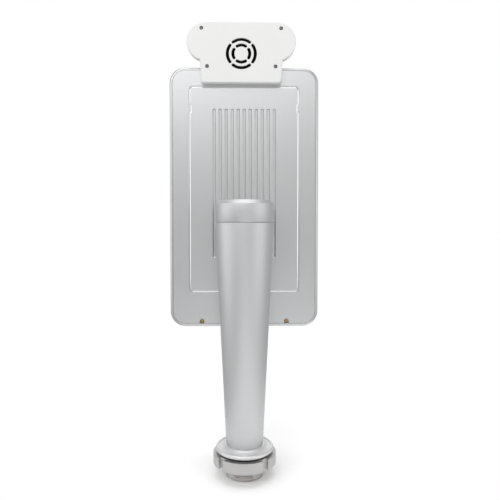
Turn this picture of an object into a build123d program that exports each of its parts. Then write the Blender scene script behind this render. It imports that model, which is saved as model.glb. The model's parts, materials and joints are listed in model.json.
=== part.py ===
from build123d import *
import math
import os

# A face and fare terminal carried on a tapered column, with a sensor head behind its top edge.
# The column clamps through a round hole in a gate or cabinet top with a slotted ring nut.
# +Z is up, the screen faces -Y, and the origin is on the column's axis in the flange's seat plane.
# A depth is a distance in front of the column's axis, towards the screen.

# ---- Driving dimensions, in millimetres ----

# Column and foot
COLUMN_TOP_R = 26.0
COLUMN_FOOT_R = 16.5
COLUMN_FOOT_Z = 4.8
COLUMN_TOP_Z = 202.5
COLUMN_WALL = 2.6
FOOT_SOCKET_DEPTH = 17.2
TOP_SOCKET_WALL = 3.4
TOP_SOCKET_DEPTH = 22.5

FLANGE_OVER_THREAD = 8.0
FLANGE_BEAD_R = 1.3
FLANGE_T = 3.1
FLANGE_DISH = 0.5
SHOULDER_OVER_FOOT = 1.7
GASKET_OVER_THREAD = 1.1
GASKET_W = 3.0
GASKET_T = 1.5

THREAD_R = 17.5
STUD_LENGTH = 23.2
STUD_END_ROUND = 3.0
CABLE_BORE_R = 11.0

# Ring nut and clamp washer
NUT_OVER_THREAD = 10.5
NUT_T = 9.7
NUT_NOTCHES = 4
NUT_NOTCH_W = 5.6
NUT_NOTCH_DEPTH = 3.2
NUT_FIRST_NOTCH_DEG = 41.0
NUT_BEVEL = 0.6
WASHER_GAP = 2.1
WASHER_T = 0.8
WASHER_PROUD = 0.1
WASHER_UNDER_NUT = 3.8

# Swivel joint under the collar
COLLAR_H = 19.1
COLLAR_BEVEL = 3.1
COLLAR_FLOOR = 3.2
COLLAR_CAVITY_WALL = 3.0
COLLAR_ROOF = 4.0
SPIGOT_R = 12.0
SPIGOT_WALL = 3.5
BUSH_WALL = 0.9
BUSH_FLANGE_OUT = 3.0
BUSH_FLANGE_T = 2.0
WAVE_WASHER_T = 1.1
WAVE_WASHER_OUT = 4.0
SWIVEL_NUT_T = 6.0
SWIVEL_NUT_OUT = 6.0
STOP_PIN_R = 1.5
STOP_PIN_OUT = 3.5
STOP_PIN_LENGTH = 15.0
STOP_PIN_BEVEL = 0.3
SWIVEL_HALF_DEG = 90.0
STOP_SLOT_DEPTH = 2.7

# Tilt hinge between the collar and the terminal
TILT_ABOVE_COLLAR_FOOT = 9.2
TILT_OUT = 6.0
EAR_R = 5.5
EAR_INNER_X = 14.0
EAR_OUTER_X = 20.0
LUG_R = 5.4
LUG_INNER_X = 8.5
LUG_OUTER_X = 13.5
TILT_BOLT_R = 2.5
TILT_BOLT_HEAD_R = 4.2
TILT_BOLT_HEAD_T = 2.5
TILT_NUT_R = 4.0
TILT_NUT_T = 2.4
TILT_WASHER_R = 4.6
CABLE_WINDOW_W = 14.0
CABLE_WINDOW_H = 11.0
CABLE_WINDOW_CORNER_R = 2.0

# Bracket on the terminal's back
BRACKET_W = 48.0
BRACKET_T = 2.0
BRACKET_CORNER_R = 3.0
BRACKET_LOW_DROP = 62.0
BRACKET_TOP_DROP = 9.0
LUG_ROOT_DROP = 27.0
LUG_SLOPE_DEG = 20.0
BRACKET_SCREW_R = 1.5
BRACKET_SCREW_HEAD_R = 2.7
BRACKET_SCREW_HEAD_T = 1.5
BRACKET_SCREW_LOW_INSET = 8.0
BRACKET_SCREW_HIGH_INSET = 7.0
BRACKET_SCREW_COLUMN = 3.5
GROMMET_R = 7.0
GROMMET_NECK_R = 5.1
GROMMET_BORE_R = 3.5
GROMMET_LIP = 1.2

# Terminal housing
TERMINAL_W = 142.0
TERMINAL_H = 247.6
TERMINAL_DROP = 110.2
TERMINAL_CORNER_R = 15.0
TERMINAL_BEHIND_TILT = 6.0
SHELL_T = 19.6
SHELL_WALL = 2.5
SHELL_BACK_T = 2.5
SHELL_EDGE_W = 2.7
SHELL_EDGE_DEPTH = 1.6
FRAME_T = 5.0
FRAME_LEDGE = 6.0
FRAME_RIM = 2.0
FRAME_BEVEL = 0.8
GLASS_T = 1.8
GLASS_GASKET_T = 0.8
GLASS_GASKET_W = 3.3
CASE_SCREW_INSET_X = 30.3
CASE_SCREW_INSET_Z = 4.9
CASE_SCREW_R = 1.0
CASE_SCREW_HEAD_R = 1.9
CASE_SCREW_HEAD_T = 1.3
CASE_SCREW_SUNK = 0.6
CASE_SCREW_RECESS = 0.6
CASE_SCREW_LENGTH = 17.0
PILLAR_R = 3.4
BOSS_H = 3.4

# Ribbed heat sink panel let into the rear shell
PANEL_SIDE_MARGIN = 19.95
PANEL_LOW_MARGIN = 34.4
PANEL_TOP_MARGIN = 19.4
PANEL_CORNER_R = 2.5
PANEL_GROOVE = 1.6
PANEL_GROOVE_DEPTH = 0.9
PANEL_LIP = 3.0
PANEL_LIP_T = 2.0
TAB_IN = 1.1
TAB_CORNER_R = 0.99
TAB_H = 9.0
TAB_DROP = 23.8
FLUTES = 11
FLUTE_PITCH = 5.73
FLUTE_W = 2.9
FLUTE_DEPTH = 1.4
FLUTE_LOW_INSET = 32.5
FLUTE_TOP_INSET = 19.6
PANEL_SCREW_R = 1.2
PANEL_SCREW_HEAD_R = 2.2
PANEL_SCREW_HEAD_T = 1.2
PANEL_SCREW_INSET = 15.504

# Electronics inside the terminal
CHASSIS_T = 1.2
CHASSIS_SCREW_INSET_X = 2.0
CHASSIS_SCREW_INSET_Z = 34.664
CHASSIS_SCREW_HEAD_R = 1.84
BOARD_SIDE_MARGIN = 12.0
BOARD_LOW_MARGIN = 44.2
BOARD_TOP_MARGIN = 3.4
BOARD_T = 1.6
BOARD_CORNER_R = 2.0
STANDOFF_R = 2.5
STANDOFF_INSET_X = 7.0
STANDOFF_INSET_Z = 10.0
BOARD_SCREW_R = 1.2
BOARD_SCREW_HEAD_R = 2.3
BOARD_SCREW_HEAD_T = 1.2
SHIELD_SIZE = 40.0
SHIELD_T = 2.5
SHIELD_CORNER_R = 1.0
SHIELD_LIFT = 6.9
PAD_SIZE = 38.0
PAD_T = 1.0
DISPLAY_SIDE_MARGIN = 13.7
DISPLAY_LOW_MARGIN = 18.2
DISPLAY_TOP_MARGIN = 45.4
DISPLAY_CORNER_R = 1.0
CAMERA_BOARD_W = 44.0
CAMERA_BOARD_H = 16.0
CAMERA_BOARD_T = 1.2
CAMERA_DROP = 19.4
CAMERA_X = 11.0
CAMERA_LENS_R = 4.6
LIGHT_BOARD_W = 24.0
LIGHT_BOARD_H = 8.0
LIGHT_BOARD_X = 40.0
LIGHT_BOARD_T = 1.0
ANTENNA_SCREW_ROOM = 2.7
ANTENNA_H = 9.0
ANTENNA_LIFT = 11.2
ANTENNA_T = 0.8
SMALL_BOARD_CORNER_R = 1.0

# Sensor head behind the terminal's top edge
HEAD_X = 2.7
HEAD_W = 102.6
HEAD_RISE = 40.2
HEAD_LAP = 16.2
HEAD_LOBE_R = 18.0
HEAD_KINK_DEG = 72.0
HEAD_STEM_FOOT_W = 74.9
HEAD_STEM_ROUND = 2.8
HEAD_BEHIND_TERMINAL = 7.0
HEAD_REACH = 19.0
HEAD_WALL = 2.0
HEAD_EDGE = 0.8
COVER_T = 4.7
HEAD_GASKET_T = 0.5
HEAD_BOX_W = 68.0
HEAD_BOX_H = 36.6
HEAD_BOX_CORNER_R = 9.0
HEAD_OVER_TERMINAL = 0.6
HEAD_FRONT_ROUND = 2.0
COVER_SCREW_TOP_X = 37.3
COVER_SCREW_TOP_INSET = 5.9
COVER_SCREW_LOW_X = 32.1
COVER_SCREW_LOW_INSET = 15.2
COVER_SCREW_R = 0.95
COVER_SCREW_HEAD_R = 1.8
COVER_SCREW_HEAD_T = 0.8
COVER_SCREW_SUNK = 0.3
COVER_SCREW_LENGTH = 5.0
COVER_PILLAR_R = 2.6
HEAD_MOUNT_X = 25.0
HEAD_MOUNT_INSET = 6.8
HEAD_MOUNT_BITE = 1.0
HEAD_MOUNT_SCREW_R = 1.5
HEAD_MOUNT_HEAD_R = 2.8
HEAD_MOUNT_HEAD_T = 1.2
PLUG_W = 12.0
PLUG_H = 5.0
PLUG_INSET = 1.0

# Grille and loudspeaker in the sensor head
GRILLE_LIFT = 10.2
GRILLE_OUTER_R = 13.1
GRILLE_OUTER_DEG = 76.0
GRILLE_INNER_R = 7.9
GRILLE_INNER_DEG = 62.0
GRILLE_SLOT_W = 2.8
GRILLE_SLOTS_PER_RING = 4
MESH_R = 16.0
MESH_T = 0.4
SPEAKER_FLANGE_R = 14.8
SPEAKER_FLANGE_T = 1.0
BASKET_MOUTH_R = 12.0
BASKET_BACK_R = 8.0
BASKET_DEPTH = 3.2
BASKET_WALL = 0.8
BASKET_ROOM_R = 10.2
BASKET_ROOM_FLOOR = 0.5
CONE_MOUTH_R = 11.0
CONE_DEPTH = 2.2
CONE_T = 0.5
MAGNET_R = 7.8
MAGNET_T = 6.4
MAGNET_BEVEL = 0.6

# Sensor board and window in the head's front
HEAD_BOARD_SETBACK = 9.0
HEAD_BOARD_T = 1.4
HEAD_BOARD_GAP = 0.3
SENSOR_R = 5.6
LENS_R = 4.6
HEAD_LIGHT_X = 18.0
HEAD_LIGHT_R = 3.0
HEAD_LIGHT_T = 2.6
WINDOW_W = 58.0
WINDOW_H = 22.0
WINDOW_T = 0.8

# Clearances
STATIC_FIT = 0.05
RUNNING_FIT = 0.06
LOOSE_FIT = 0.3
FACE_GAP = 0.1

# Cross slots in screw heads, as shares of the head
CROSS_LENGTH = 1.2
CROSS_WIDTH = 0.3
CROSS_DEPTH = 0.5

# ---- Places worked out from them ----

SEAT_Z = 0.0
FLANGE_R = THREAD_R + FLANGE_OVER_THREAD
FLANGE_SHOULDER_R = COLUMN_FOOT_R + SHOULDER_OVER_FOOT
GASKET_INNER_R = THREAD_R + GASKET_OVER_THREAD
GASKET_OUTER_R = GASKET_INNER_R + GASKET_W
NUT_R = THREAD_R + NUT_OVER_THREAD
NUT_TOP_Z = SEAT_Z - WASHER_GAP - WASHER_PROUD
WASHER_R = NUT_R - WASHER_UNDER_NUT

COLLAR_LOW_Z = COLUMN_TOP_Z + LOOSE_FIT
COLLAR_R = COLUMN_TOP_R
COLLAR_CAVITY_R = SPIGOT_R + COLLAR_CAVITY_WALL
TOP_SOCKET_R = COLUMN_TOP_R - TOP_SOCKET_WALL
TOP_SOCKET_Z = COLUMN_TOP_Z - TOP_SOCKET_DEPTH
FOOT_SOCKET_R = COLUMN_FOOT_R - COLUMN_WALL
FOOT_SOCKET_Z = COLUMN_FOOT_Z + FOOT_SOCKET_DEPTH
INSERT_TOP_Z = COLUMN_TOP_Z - BUSH_FLANGE_T
BUSH_BORE_R = SPIGOT_R + RUNNING_FIT
BUSH_R = BUSH_BORE_R + BUSH_WALL
BUSH_FLANGE_R = SPIGOT_R + BUSH_FLANGE_OUT
STOP_PIN_ORBIT = BUSH_FLANGE_R + STOP_PIN_OUT
WAVE_WASHER_R = SPIGOT_R + WAVE_WASHER_OUT
WAVE_WASHER_TOP_Z = TOP_SOCKET_Z - FACE_GAP
SWIVEL_NUT_R = SPIGOT_R + SWIVEL_NUT_OUT
SWIVEL_NUT_TOP_Z = WAVE_WASHER_TOP_Z - WAVE_WASHER_T
SPIGOT_BORE_R = SPIGOT_R - SPIGOT_WALL
SPIGOT_LOW_Z = SWIVEL_NUT_TOP_Z - SWIVEL_NUT_T

TILT_Z = COLLAR_LOW_Z + TILT_ABOVE_COLLAR_FOOT
TILT_DEPTH = COLLAR_R + TILT_OUT
TERMINAL_BACK = TILT_DEPTH + TERMINAL_BEHIND_TILT
TERMINAL_LOW_Z = TILT_Z - TERMINAL_DROP
TERMINAL_TOP_Z = TERMINAL_LOW_Z + TERMINAL_H
TERMINAL_MID_Z = TERMINAL_LOW_Z + TERMINAL_H / 2
SHELL_FRONT = TERMINAL_BACK + SHELL_T
FRAME_FRONT = SHELL_FRONT + FRAME_T
SHELL_FLOOR = TERMINAL_BACK + SHELL_BACK_T
CASE_SCREW_X = TERMINAL_W / 2 - CASE_SCREW_INSET_X
CASE_SCREW_Z = TERMINAL_LOW_Z + CASE_SCREW_INSET_Z

PANEL_W = TERMINAL_W - 2 * PANEL_SIDE_MARGIN
PANEL_H = TERMINAL_H - PANEL_LOW_MARGIN - PANEL_TOP_MARGIN
PANEL_LOW_Z = TERMINAL_LOW_Z + PANEL_LOW_MARGIN
PANEL_TOP_Z = PANEL_LOW_Z + PANEL_H
PANEL_MID_Z = (PANEL_LOW_Z + PANEL_TOP_Z) / 2
PANEL_INSIDE = SHELL_FLOOR + PANEL_LIP_T
TAB_LOW_Z = PANEL_TOP_Z - TAB_DROP
TAB_HIGH_Z = TAB_LOW_Z + TAB_H
FLUTE_LOW_Z = PANEL_LOW_Z + FLUTE_LOW_INSET
FLUTE_TOP_Z = PANEL_TOP_Z - FLUTE_TOP_INSET
FLUTE_MID_Z = (FLUTE_LOW_Z + FLUTE_TOP_Z) / 2
FLUTE_LENGTH = FLUTE_TOP_Z - FLUTE_LOW_Z

BRACKET_BACK = TERMINAL_BACK - BRACKET_T
BRACKET_LOW_Z = TILT_Z - BRACKET_LOW_DROP
BRACKET_TOP_Z = TILT_Z - BRACKET_TOP_DROP
LUG_ROOT_Z = TILT_Z - LUG_ROOT_DROP
BRACKET_SCREW_X = BRACKET_SCREW_COLUMN * FLUTE_PITCH
BRACKET_SCREW_LOW_Z = BRACKET_LOW_Z + BRACKET_SCREW_LOW_INSET
BRACKET_SCREW_HIGH_Z = BRACKET_TOP_Z - BRACKET_SCREW_HIGH_INSET

BOARD_BACK = PANEL_INSIDE + PAD_T + SHIELD_T
BOARD_FRONT = BOARD_BACK + BOARD_T
BOARD_W = TERMINAL_W - 2 * BOARD_SIDE_MARGIN
BOARD_LOW_Z = TERMINAL_LOW_Z + BOARD_LOW_MARGIN
BOARD_TOP_Z = TERMINAL_TOP_Z - BOARD_TOP_MARGIN
STANDOFF_X = BOARD_W / 2 - STANDOFF_INSET_X
SHIELD_Z = PANEL_MID_Z + SHIELD_LIFT
CHASSIS_BACK = SHELL_FRONT - CHASSIS_T
GLASS_BACK = FRAME_FRONT - GLASS_T
LEDGE_FRONT = GLASS_BACK - GLASS_GASKET_T
DISPLAY_W = TERMINAL_W - 2 * DISPLAY_SIDE_MARGIN
DISPLAY_LOW_Z = TERMINAL_LOW_Z + DISPLAY_LOW_MARGIN
DISPLAY_TOP_Z = TERMINAL_TOP_Z - DISPLAY_TOP_MARGIN
CAMERA_Z = TERMINAL_TOP_Z - CAMERA_DROP
ANTENNA_W = 2 * (CASE_SCREW_X - ANTENNA_SCREW_ROOM)
ANTENNA_Z = TERMINAL_LOW_Z + ANTENNA_LIFT

HEAD_TOP_Z = TERMINAL_TOP_Z + HEAD_RISE
HEAD_LOW_Z = TERMINAL_TOP_Z - HEAD_LAP
HEAD_BACK = TERMINAL_BACK - HEAD_BEHIND_TERMINAL
HEAD_FRONT = TERMINAL_BACK + HEAD_REACH
COVER_SCREW_TOP_Z = HEAD_TOP_Z - COVER_SCREW_TOP_INSET
COVER_SCREW_LOW_Z = HEAD_LOW_Z + COVER_SCREW_LOW_INSET
HEAD_MOUNT_Z = HEAD_LOW_Z + HEAD_MOUNT_INSET
COVER_INSIDE = HEAD_BACK + HEAD_WALL
COVER_FRONT = HEAD_BACK + COVER_T
HOUSING_BACK = COVER_FRONT + HEAD_GASKET_T
HEAD_BOX_LOW_Z = TERMINAL_TOP_Z + HEAD_OVER_TERMINAL
HEAD_BOX_MID_Z = HEAD_BOX_LOW_Z + HEAD_BOX_H / 2
GRILLE_Z = HEAD_BOX_LOW_Z + GRILLE_LIFT
SENSOR_Z = HEAD_BOX_MID_Z
HEAD_FRONT_WALL = HEAD_FRONT - HEAD_WALL
SPEAKER_BACK = COVER_INSIDE + MESH_T
BASKET_START = SPEAKER_BACK + SPEAKER_FLANGE_T
MAGNET_START = BASKET_START + BASKET_DEPTH
HEAD_BOARD_DEPTH = HEAD_FRONT - HEAD_BOARD_SETBACK
SENSOR_START = HEAD_BOARD_DEPTH + HEAD_BOARD_T


def column_radius(z):
    """Outside radius of the tapered column at a height."""
    share = (z - COLUMN_FOOT_Z) / (COLUMN_TOP_Z - COLUMN_FOOT_Z)
    return COLUMN_FOOT_R + share * (COLUMN_TOP_R - COLUMN_FOOT_R)


def facing(depth):
    """The plane at a depth in front of the column's axis, seen from the screen's side."""
    return Plane.XZ.offset(depth)


def ring_part(outer_r, inner_r, low_z, high_z):
    """A plain ring about the column's axis."""
    with BuildPart() as made:
        with BuildSketch(Plane.XY.offset(low_z)):
            Circle(outer_r)
            Circle(inner_r, mode=Mode.SUBTRACT)
        extrude(amount=high_z - low_z)
    return made


def terminal_face(inset=0.0):
    """The terminal's rounded outline, moved inwards by inset."""
    with BuildSketch() as face:
        with Locations((0, TERMINAL_MID_Z)):
            RectangleRounded(
                TERMINAL_W - 2 * inset,
                TERMINAL_H - 2 * inset,
                TERMINAL_CORNER_R - inset,
            )
    return face.sketch


def panel_face(grow=0.0):
    """The heat sink panel's outline with its two side recesses, grown by grow."""
    with BuildSketch() as face:
        with Locations((0, PANEL_MID_Z)):
            RectangleRounded(PANEL_W + 2 * grow, PANEL_H + 2 * grow, PANEL_CORNER_R + grow)
        tab_mid_z = (TAB_LOW_Z + TAB_HIGH_Z) / 2
        with Locations((PANEL_W / 2 + grow, tab_mid_z), (-PANEL_W / 2 - grow, tab_mid_z)):
            RectangleRounded(
                2 * TAB_IN,
                TAB_HIGH_Z - TAB_LOW_Z - 2 * grow,
                TAB_CORNER_R,
                mode=Mode.SUBTRACT,
            )
    return face.sketch


def head_face(inset=0.0):
    """The sensor head's outline, two round lobes over a stem, moved inwards by inset."""
    lobe_x = HEAD_W / 2 - HEAD_LOBE_R
    lobe_z = HEAD_TOP_Z - HEAD_LOBE_R
    sweep = 90 + HEAD_KINK_DEG
    with BuildSketch() as face:
        with BuildLine():
            Line((HEAD_X - lobe_x, HEAD_TOP_Z), (HEAD_X + lobe_x, HEAD_TOP_Z))
            right = CenterArc((HEAD_X + lobe_x, lobe_z), HEAD_LOBE_R, 90, -sweep)
            left = CenterArc((HEAD_X - lobe_x, lobe_z), HEAD_LOBE_R, 90, sweep)
            right_foot = (HEAD_X + HEAD_STEM_FOOT_W / 2, HEAD_LOW_Z)
            left_foot = (HEAD_X - HEAD_STEM_FOOT_W / 2, HEAD_LOW_Z)
            Line(right @ 1, right_foot)
            Line(right_foot, left_foot)
            Line(left_foot, left @ 1)
        make_face()
        fillet(face.vertices().group_by(Axis.Y)[0], HEAD_STEM_ROUND)
        if inset:
            offset(amount=-inset)
    return face.sketch


def head_box_face(inset=0.0):
    """Outline of the box in front of the head's plate, moved inwards by inset."""
    with BuildSketch() as face:
        with Locations((HEAD_X, HEAD_BOX_MID_Z)):
            RectangleRounded(
                HEAD_BOX_W - 2 * inset,
                HEAD_BOX_H - 2 * inset,
                HEAD_BOX_CORNER_R - inset,
            )
    return face.sketch


def arc_slots(centre, orbit, width, starts, sweep):
    """Round-ended slots along an arc, one from each start angle."""
    with BuildSketch() as face:
        for start in starts:
            SlotArc(CenterArc(centre, orbit, start, sweep), width)
    return face.sketch


def screws(places, head_r, head_t, shank_r, head_back, length):
    """Round-headed screws driven towards the screen, one solid at each place."""
    with BuildPart() as made:
        with BuildSketch(facing(head_back)):
            with Locations(*places):
                Circle(head_r)
        extrude(amount=head_t)
        with BuildSketch(facing(head_back + head_t)):
            with Locations(*places):
                Circle(shank_r)
        extrude(amount=length)
        # a plain cross slot in each head
        with BuildSketch(facing(head_back)):
            with Locations(*places):
                Rectangle(head_r * CROSS_LENGTH, head_r * CROSS_WIDTH)
                Rectangle(head_r * CROSS_WIDTH, head_r * CROSS_LENGTH)
        extrude(amount=head_t * CROSS_DEPTH, mode=Mode.SUBTRACT)
    return made


os.makedirs("parts", exist_ok=True)

both_sides = (1, -1)
case_screw_places = [(s * CASE_SCREW_X, CASE_SCREW_Z) for s in both_sides]
bracket_screw_places = [
    (s * BRACKET_SCREW_X, z)
    for s in both_sides
    for z in (BRACKET_SCREW_LOW_Z, BRACKET_SCREW_HIGH_Z)
]
standoff_places = [
    (s * STANDOFF_X, z)
    for s in both_sides
    for z in (BOARD_LOW_Z + STANDOFF_INSET_Z, BOARD_TOP_Z - STANDOFF_INSET_Z)
]
panel_screw_x = (PANEL_W + PANEL_LIP) / 2 + PANEL_GROOVE
panel_screw_places = [
    (s * panel_screw_x, z)
    for s in both_sides
    for z in (PANEL_LOW_Z + PANEL_SCREW_INSET, PANEL_MID_Z, PANEL_TOP_Z - PANEL_SCREW_INSET)
]
chassis_screw_x = TERMINAL_W / 2 - SHELL_WALL - CHASSIS_SCREW_INSET_X
chassis_screw_places = [
    (s * chassis_screw_x, z)
    for s in both_sides
    for z in (TERMINAL_LOW_Z + CHASSIS_SCREW_INSET_Z, TERMINAL_TOP_Z - CHASSIS_SCREW_INSET_Z)
]
cover_screw_places = [
    (HEAD_X + s * x, z)
    for s in both_sides
    for x, z in (
        (COVER_SCREW_TOP_X, COVER_SCREW_TOP_Z),
        (COVER_SCREW_LOW_X, COVER_SCREW_LOW_Z),
    )
]
head_mount_places = [(HEAD_X + s * HEAD_MOUNT_X, HEAD_MOUNT_Z) for s in both_sides]

# ---- Column ----

# Tapered tube with a socket turned in each end
with BuildPart() as column_tube:
    with BuildSketch(Plane.XZ):
        with BuildLine():
            Polyline(
                (COLUMN_FOOT_R, COLUMN_FOOT_Z),
                (COLUMN_TOP_R, COLUMN_TOP_Z),
                (TOP_SOCKET_R, COLUMN_TOP_Z),
                (TOP_SOCKET_R, TOP_SOCKET_Z),
                (column_radius(TOP_SOCKET_Z) - COLUMN_WALL, TOP_SOCKET_Z),
                (column_radius(FOOT_SOCKET_Z) - COLUMN_WALL, FOOT_SOCKET_Z),
                (FOOT_SOCKET_R, FOOT_SOCKET_Z),
                (FOOT_SOCKET_R, COLUMN_FOOT_Z),
                close=True,
            )
        make_face()
    revolve(axis=Axis.Z)

# Foot flange: a shoulder under the column, a sloping dish and a rolled bead at the rim
bead_z = FLANGE_T - FLANGE_BEAD_R
with BuildPart() as base_flange:
    with BuildSketch(Plane.XZ):
        Polygon(
            (FOOT_SOCKET_R, SEAT_Z),
            (FLANGE_R, SEAT_Z),
            (FLANGE_R, bead_z),
            (FLANGE_R - 2 * FLANGE_BEAD_R, FLANGE_T - FLANGE_DISH),
            (FLANGE_SHOULDER_R, COLUMN_FOOT_Z),
            (FOOT_SOCKET_R, COLUMN_FOOT_Z),
            align=None,
        )
        with Locations((FLANGE_R - FLANGE_BEAD_R, bead_z)):
            Circle(FLANGE_BEAD_R)
    revolve(axis=Axis.Z)
    with BuildSketch(Plane.XY):
        Circle(GASKET_OUTER_R)
        Circle(GASKET_INNER_R, mode=Mode.SUBTRACT)
    extrude(amount=GASKET_T, mode=Mode.SUBTRACT)

flange_gasket = ring_part(
    GASKET_OUTER_R - STATIC_FIT,
    GASKET_INNER_R + STATIC_FIT,
    SEAT_Z + STATIC_FIT,
    GASKET_T,
)

# Hollow threaded stud; its neck screws into the column's foot and holds the flange
neck_r = FOOT_SOCKET_R - STATIC_FIT
with BuildPart() as threaded_stud:
    with BuildSketch(Plane.XY.offset(SEAT_Z - STUD_LENGTH)):
        Circle(THREAD_R)
    extrude(amount=STUD_LENGTH)
    fillet(threaded_stud.edges().group_by(Axis.Z)[0], STUD_END_ROUND)
    with BuildSketch(Plane.XY.offset(SEAT_Z)):
        Circle(neck_r)
    extrude(amount=FOOT_SOCKET_Z - LOOSE_FIT)
    with BuildSketch(Plane.XY.offset(SEAT_Z - STUD_LENGTH)):
        Circle(CABLE_BORE_R)
    extrude(amount=STUD_LENGTH + FOOT_SOCKET_Z, mode=Mode.SUBTRACT)

# Insert in the column's head that carries the swivel bush and the stop pin
pin_low_z = COLLAR_LOW_Z + STOP_SLOT_DEPTH - LOOSE_FIT - STOP_PIN_LENGTH
with BuildPart() as top_insert:
    with BuildSketch(Plane.XY.offset(TOP_SOCKET_Z)):
        Circle(TOP_SOCKET_R - STATIC_FIT)
        Circle(BUSH_R + STATIC_FIT, mode=Mode.SUBTRACT)
    extrude(amount=INSERT_TOP_Z - TOP_SOCKET_Z)
    with BuildSketch(Plane.XY.offset(pin_low_z)):
        with Locations((0, -STOP_PIN_ORBIT)):
            Circle(STOP_PIN_R + STATIC_FIT)
    extrude(amount=STOP_PIN_LENGTH, mode=Mode.SUBTRACT)

with BuildPart() as swivel_bush:
    with BuildSketch(Plane.XY.offset(TOP_SOCKET_Z)):
        Circle(BUSH_R)
    extrude(amount=INSERT_TOP_Z - TOP_SOCKET_Z)
    with BuildSketch(Plane.XY.offset(INSERT_TOP_Z)):
        Circle(BUSH_FLANGE_R)
    extrude(amount=BUSH_FLANGE_T)
    with BuildSketch(Plane.XY.offset(TOP_SOCKET_Z)):
        Circle(BUSH_BORE_R)
    extrude(amount=COLUMN_TOP_Z - TOP_SOCKET_Z, mode=Mode.SUBTRACT)

with BuildPart() as stop_pin:
    with BuildSketch(Plane.XY.offset(pin_low_z)):
        with Locations((0, -STOP_PIN_ORBIT)):
            Circle(STOP_PIN_R)
    extrude(amount=STOP_PIN_LENGTH)
    chamfer(stop_pin.edges().group_by(Axis.Z)[-1], STOP_PIN_BEVEL)

# ---- Clamp under the cabinet top ----

clamp_washer = ring_part(
    WASHER_R,
    THREAD_R + LOOSE_FIT,
    SEAT_Z - WASHER_GAP - WASHER_T,
    SEAT_Z - WASHER_GAP,
)

with BuildPart() as ring_nut:
    with BuildSketch(Plane.XY.offset(NUT_TOP_Z - NUT_T)):
        Circle(NUT_R)
        with PolarLocations(NUT_R, NUT_NOTCHES, start_angle=NUT_FIRST_NOTCH_DEG):
            Rectangle(2 * NUT_NOTCH_DEPTH, NUT_NOTCH_W, mode=Mode.SUBTRACT)
    extrude(amount=NUT_T)
    chamfer(ring_nut.edges().group_by(Axis.Z)[0], NUT_BEVEL)
    chamfer(ring_nut.edges().group_by(Axis.Z)[-1], NUT_BEVEL)
    with BuildSketch(Plane.XY.offset(NUT_TOP_Z - NUT_T)):
        Circle(THREAD_R + RUNNING_FIT)
    extrude(amount=NUT_T, mode=Mode.SUBTRACT)
    with BuildSketch(Plane.XY.offset(NUT_TOP_Z)):
        Circle(WASHER_R + LOOSE_FIT)
    extrude(amount=-(WASHER_T - WASHER_PROUD), mode=Mode.SUBTRACT)

# ---- Swivel collar ----

# Bevelled cap with a spigot below, two ears towards the terminal and a cable window between them
with BuildPart() as swivel_collar:
    with BuildSketch(Plane.XY.offset(COLLAR_LOW_Z)):
        Circle(COLLAR_R)
    extrude(amount=COLLAR_H)
    chamfer(swivel_collar.edges().group_by(Axis.Z)[-1], COLLAR_BEVEL)
    for side in both_sides:
        with BuildSketch(Plane.YZ.offset(side * EAR_INNER_X)):
            with Locations((-TILT_DEPTH, TILT_Z)):
                Circle(EAR_R)
                Rectangle(TILT_DEPTH - COLLAR_CAVITY_R, 2 * EAR_R, align=(Align.MIN, Align.CENTER))
        extrude(amount=side * (EAR_OUTER_X - EAR_INNER_X))
    with BuildSketch(Plane.XY.offset(COLLAR_LOW_Z + COLLAR_FLOOR)):
        Circle(COLLAR_CAVITY_R)
    extrude(amount=COLLAR_H - COLLAR_FLOOR - COLLAR_ROOF, mode=Mode.SUBTRACT)
    spigot_length = COLLAR_LOW_Z + COLLAR_FLOOR - SPIGOT_LOW_Z
    with BuildSketch(Plane.XY.offset(SPIGOT_LOW_Z)):
        Circle(SPIGOT_R)
    extrude(amount=spigot_length)
    with BuildSketch(Plane.XY.offset(SPIGOT_LOW_Z)):
        Circle(SPIGOT_BORE_R)
    extrude(amount=spigot_length, mode=Mode.SUBTRACT)
    with BuildSketch(facing(0)):
        with Locations((0, TILT_Z)):
            RectangleRounded(CABLE_WINDOW_W, CABLE_WINDOW_H, CABLE_WINDOW_CORNER_R)
    extrude(amount=COLLAR_R + LOOSE_FIT, mode=Mode.SUBTRACT)
    with BuildSketch(Plane.XY.offset(COLLAR_LOW_Z)):
        slot_half = SWIVEL_HALF_DEG + math.degrees(LOOSE_FIT / STOP_PIN_ORBIT)
        slot_w = 2 * (STOP_PIN_R + LOOSE_FIT)
        add(arc_slots((0, 0), STOP_PIN_ORBIT, slot_w, [-90 - slot_half], 2 * slot_half))
    extrude(amount=STOP_SLOT_DEPTH, mode=Mode.SUBTRACT)
    with BuildSketch(Plane.YZ.offset(-EAR_OUTER_X)):
        with Locations((-TILT_DEPTH, TILT_Z)):
            Circle(TILT_BOLT_R + STATIC_FIT)
    extrude(amount=2 * EAR_OUTER_X, mode=Mode.SUBTRACT)

wave_washer = ring_part(
    WAVE_WASHER_R,
    SPIGOT_R + STATIC_FIT,
    SWIVEL_NUT_TOP_Z,
    WAVE_WASHER_TOP_Z,
)
swivel_nut = ring_part(SWIVEL_NUT_R, SPIGOT_R + STATIC_FIT, SPIGOT_LOW_Z, SWIVEL_NUT_TOP_Z)

# Shoulder bolts through ears and lugs, heads outside, nuts inside
with BuildPart() as tilt_bolts:
    for side in both_sides:
        start_x = LUG_INNER_X - FACE_GAP - TILT_NUT_T
        with BuildSketch(Plane.YZ.offset(side * start_x)):
            with Locations((-TILT_DEPTH, TILT_Z)):
                Circle(TILT_BOLT_R)
        extrude(amount=side * (EAR_OUTER_X - start_x))
        with BuildSketch(Plane.YZ.offset(side * EAR_OUTER_X)):
            with Locations((-TILT_DEPTH, TILT_Z)):
                Circle(TILT_BOLT_HEAD_R)
        extrude(amount=side * TILT_BOLT_HEAD_T)

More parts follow.
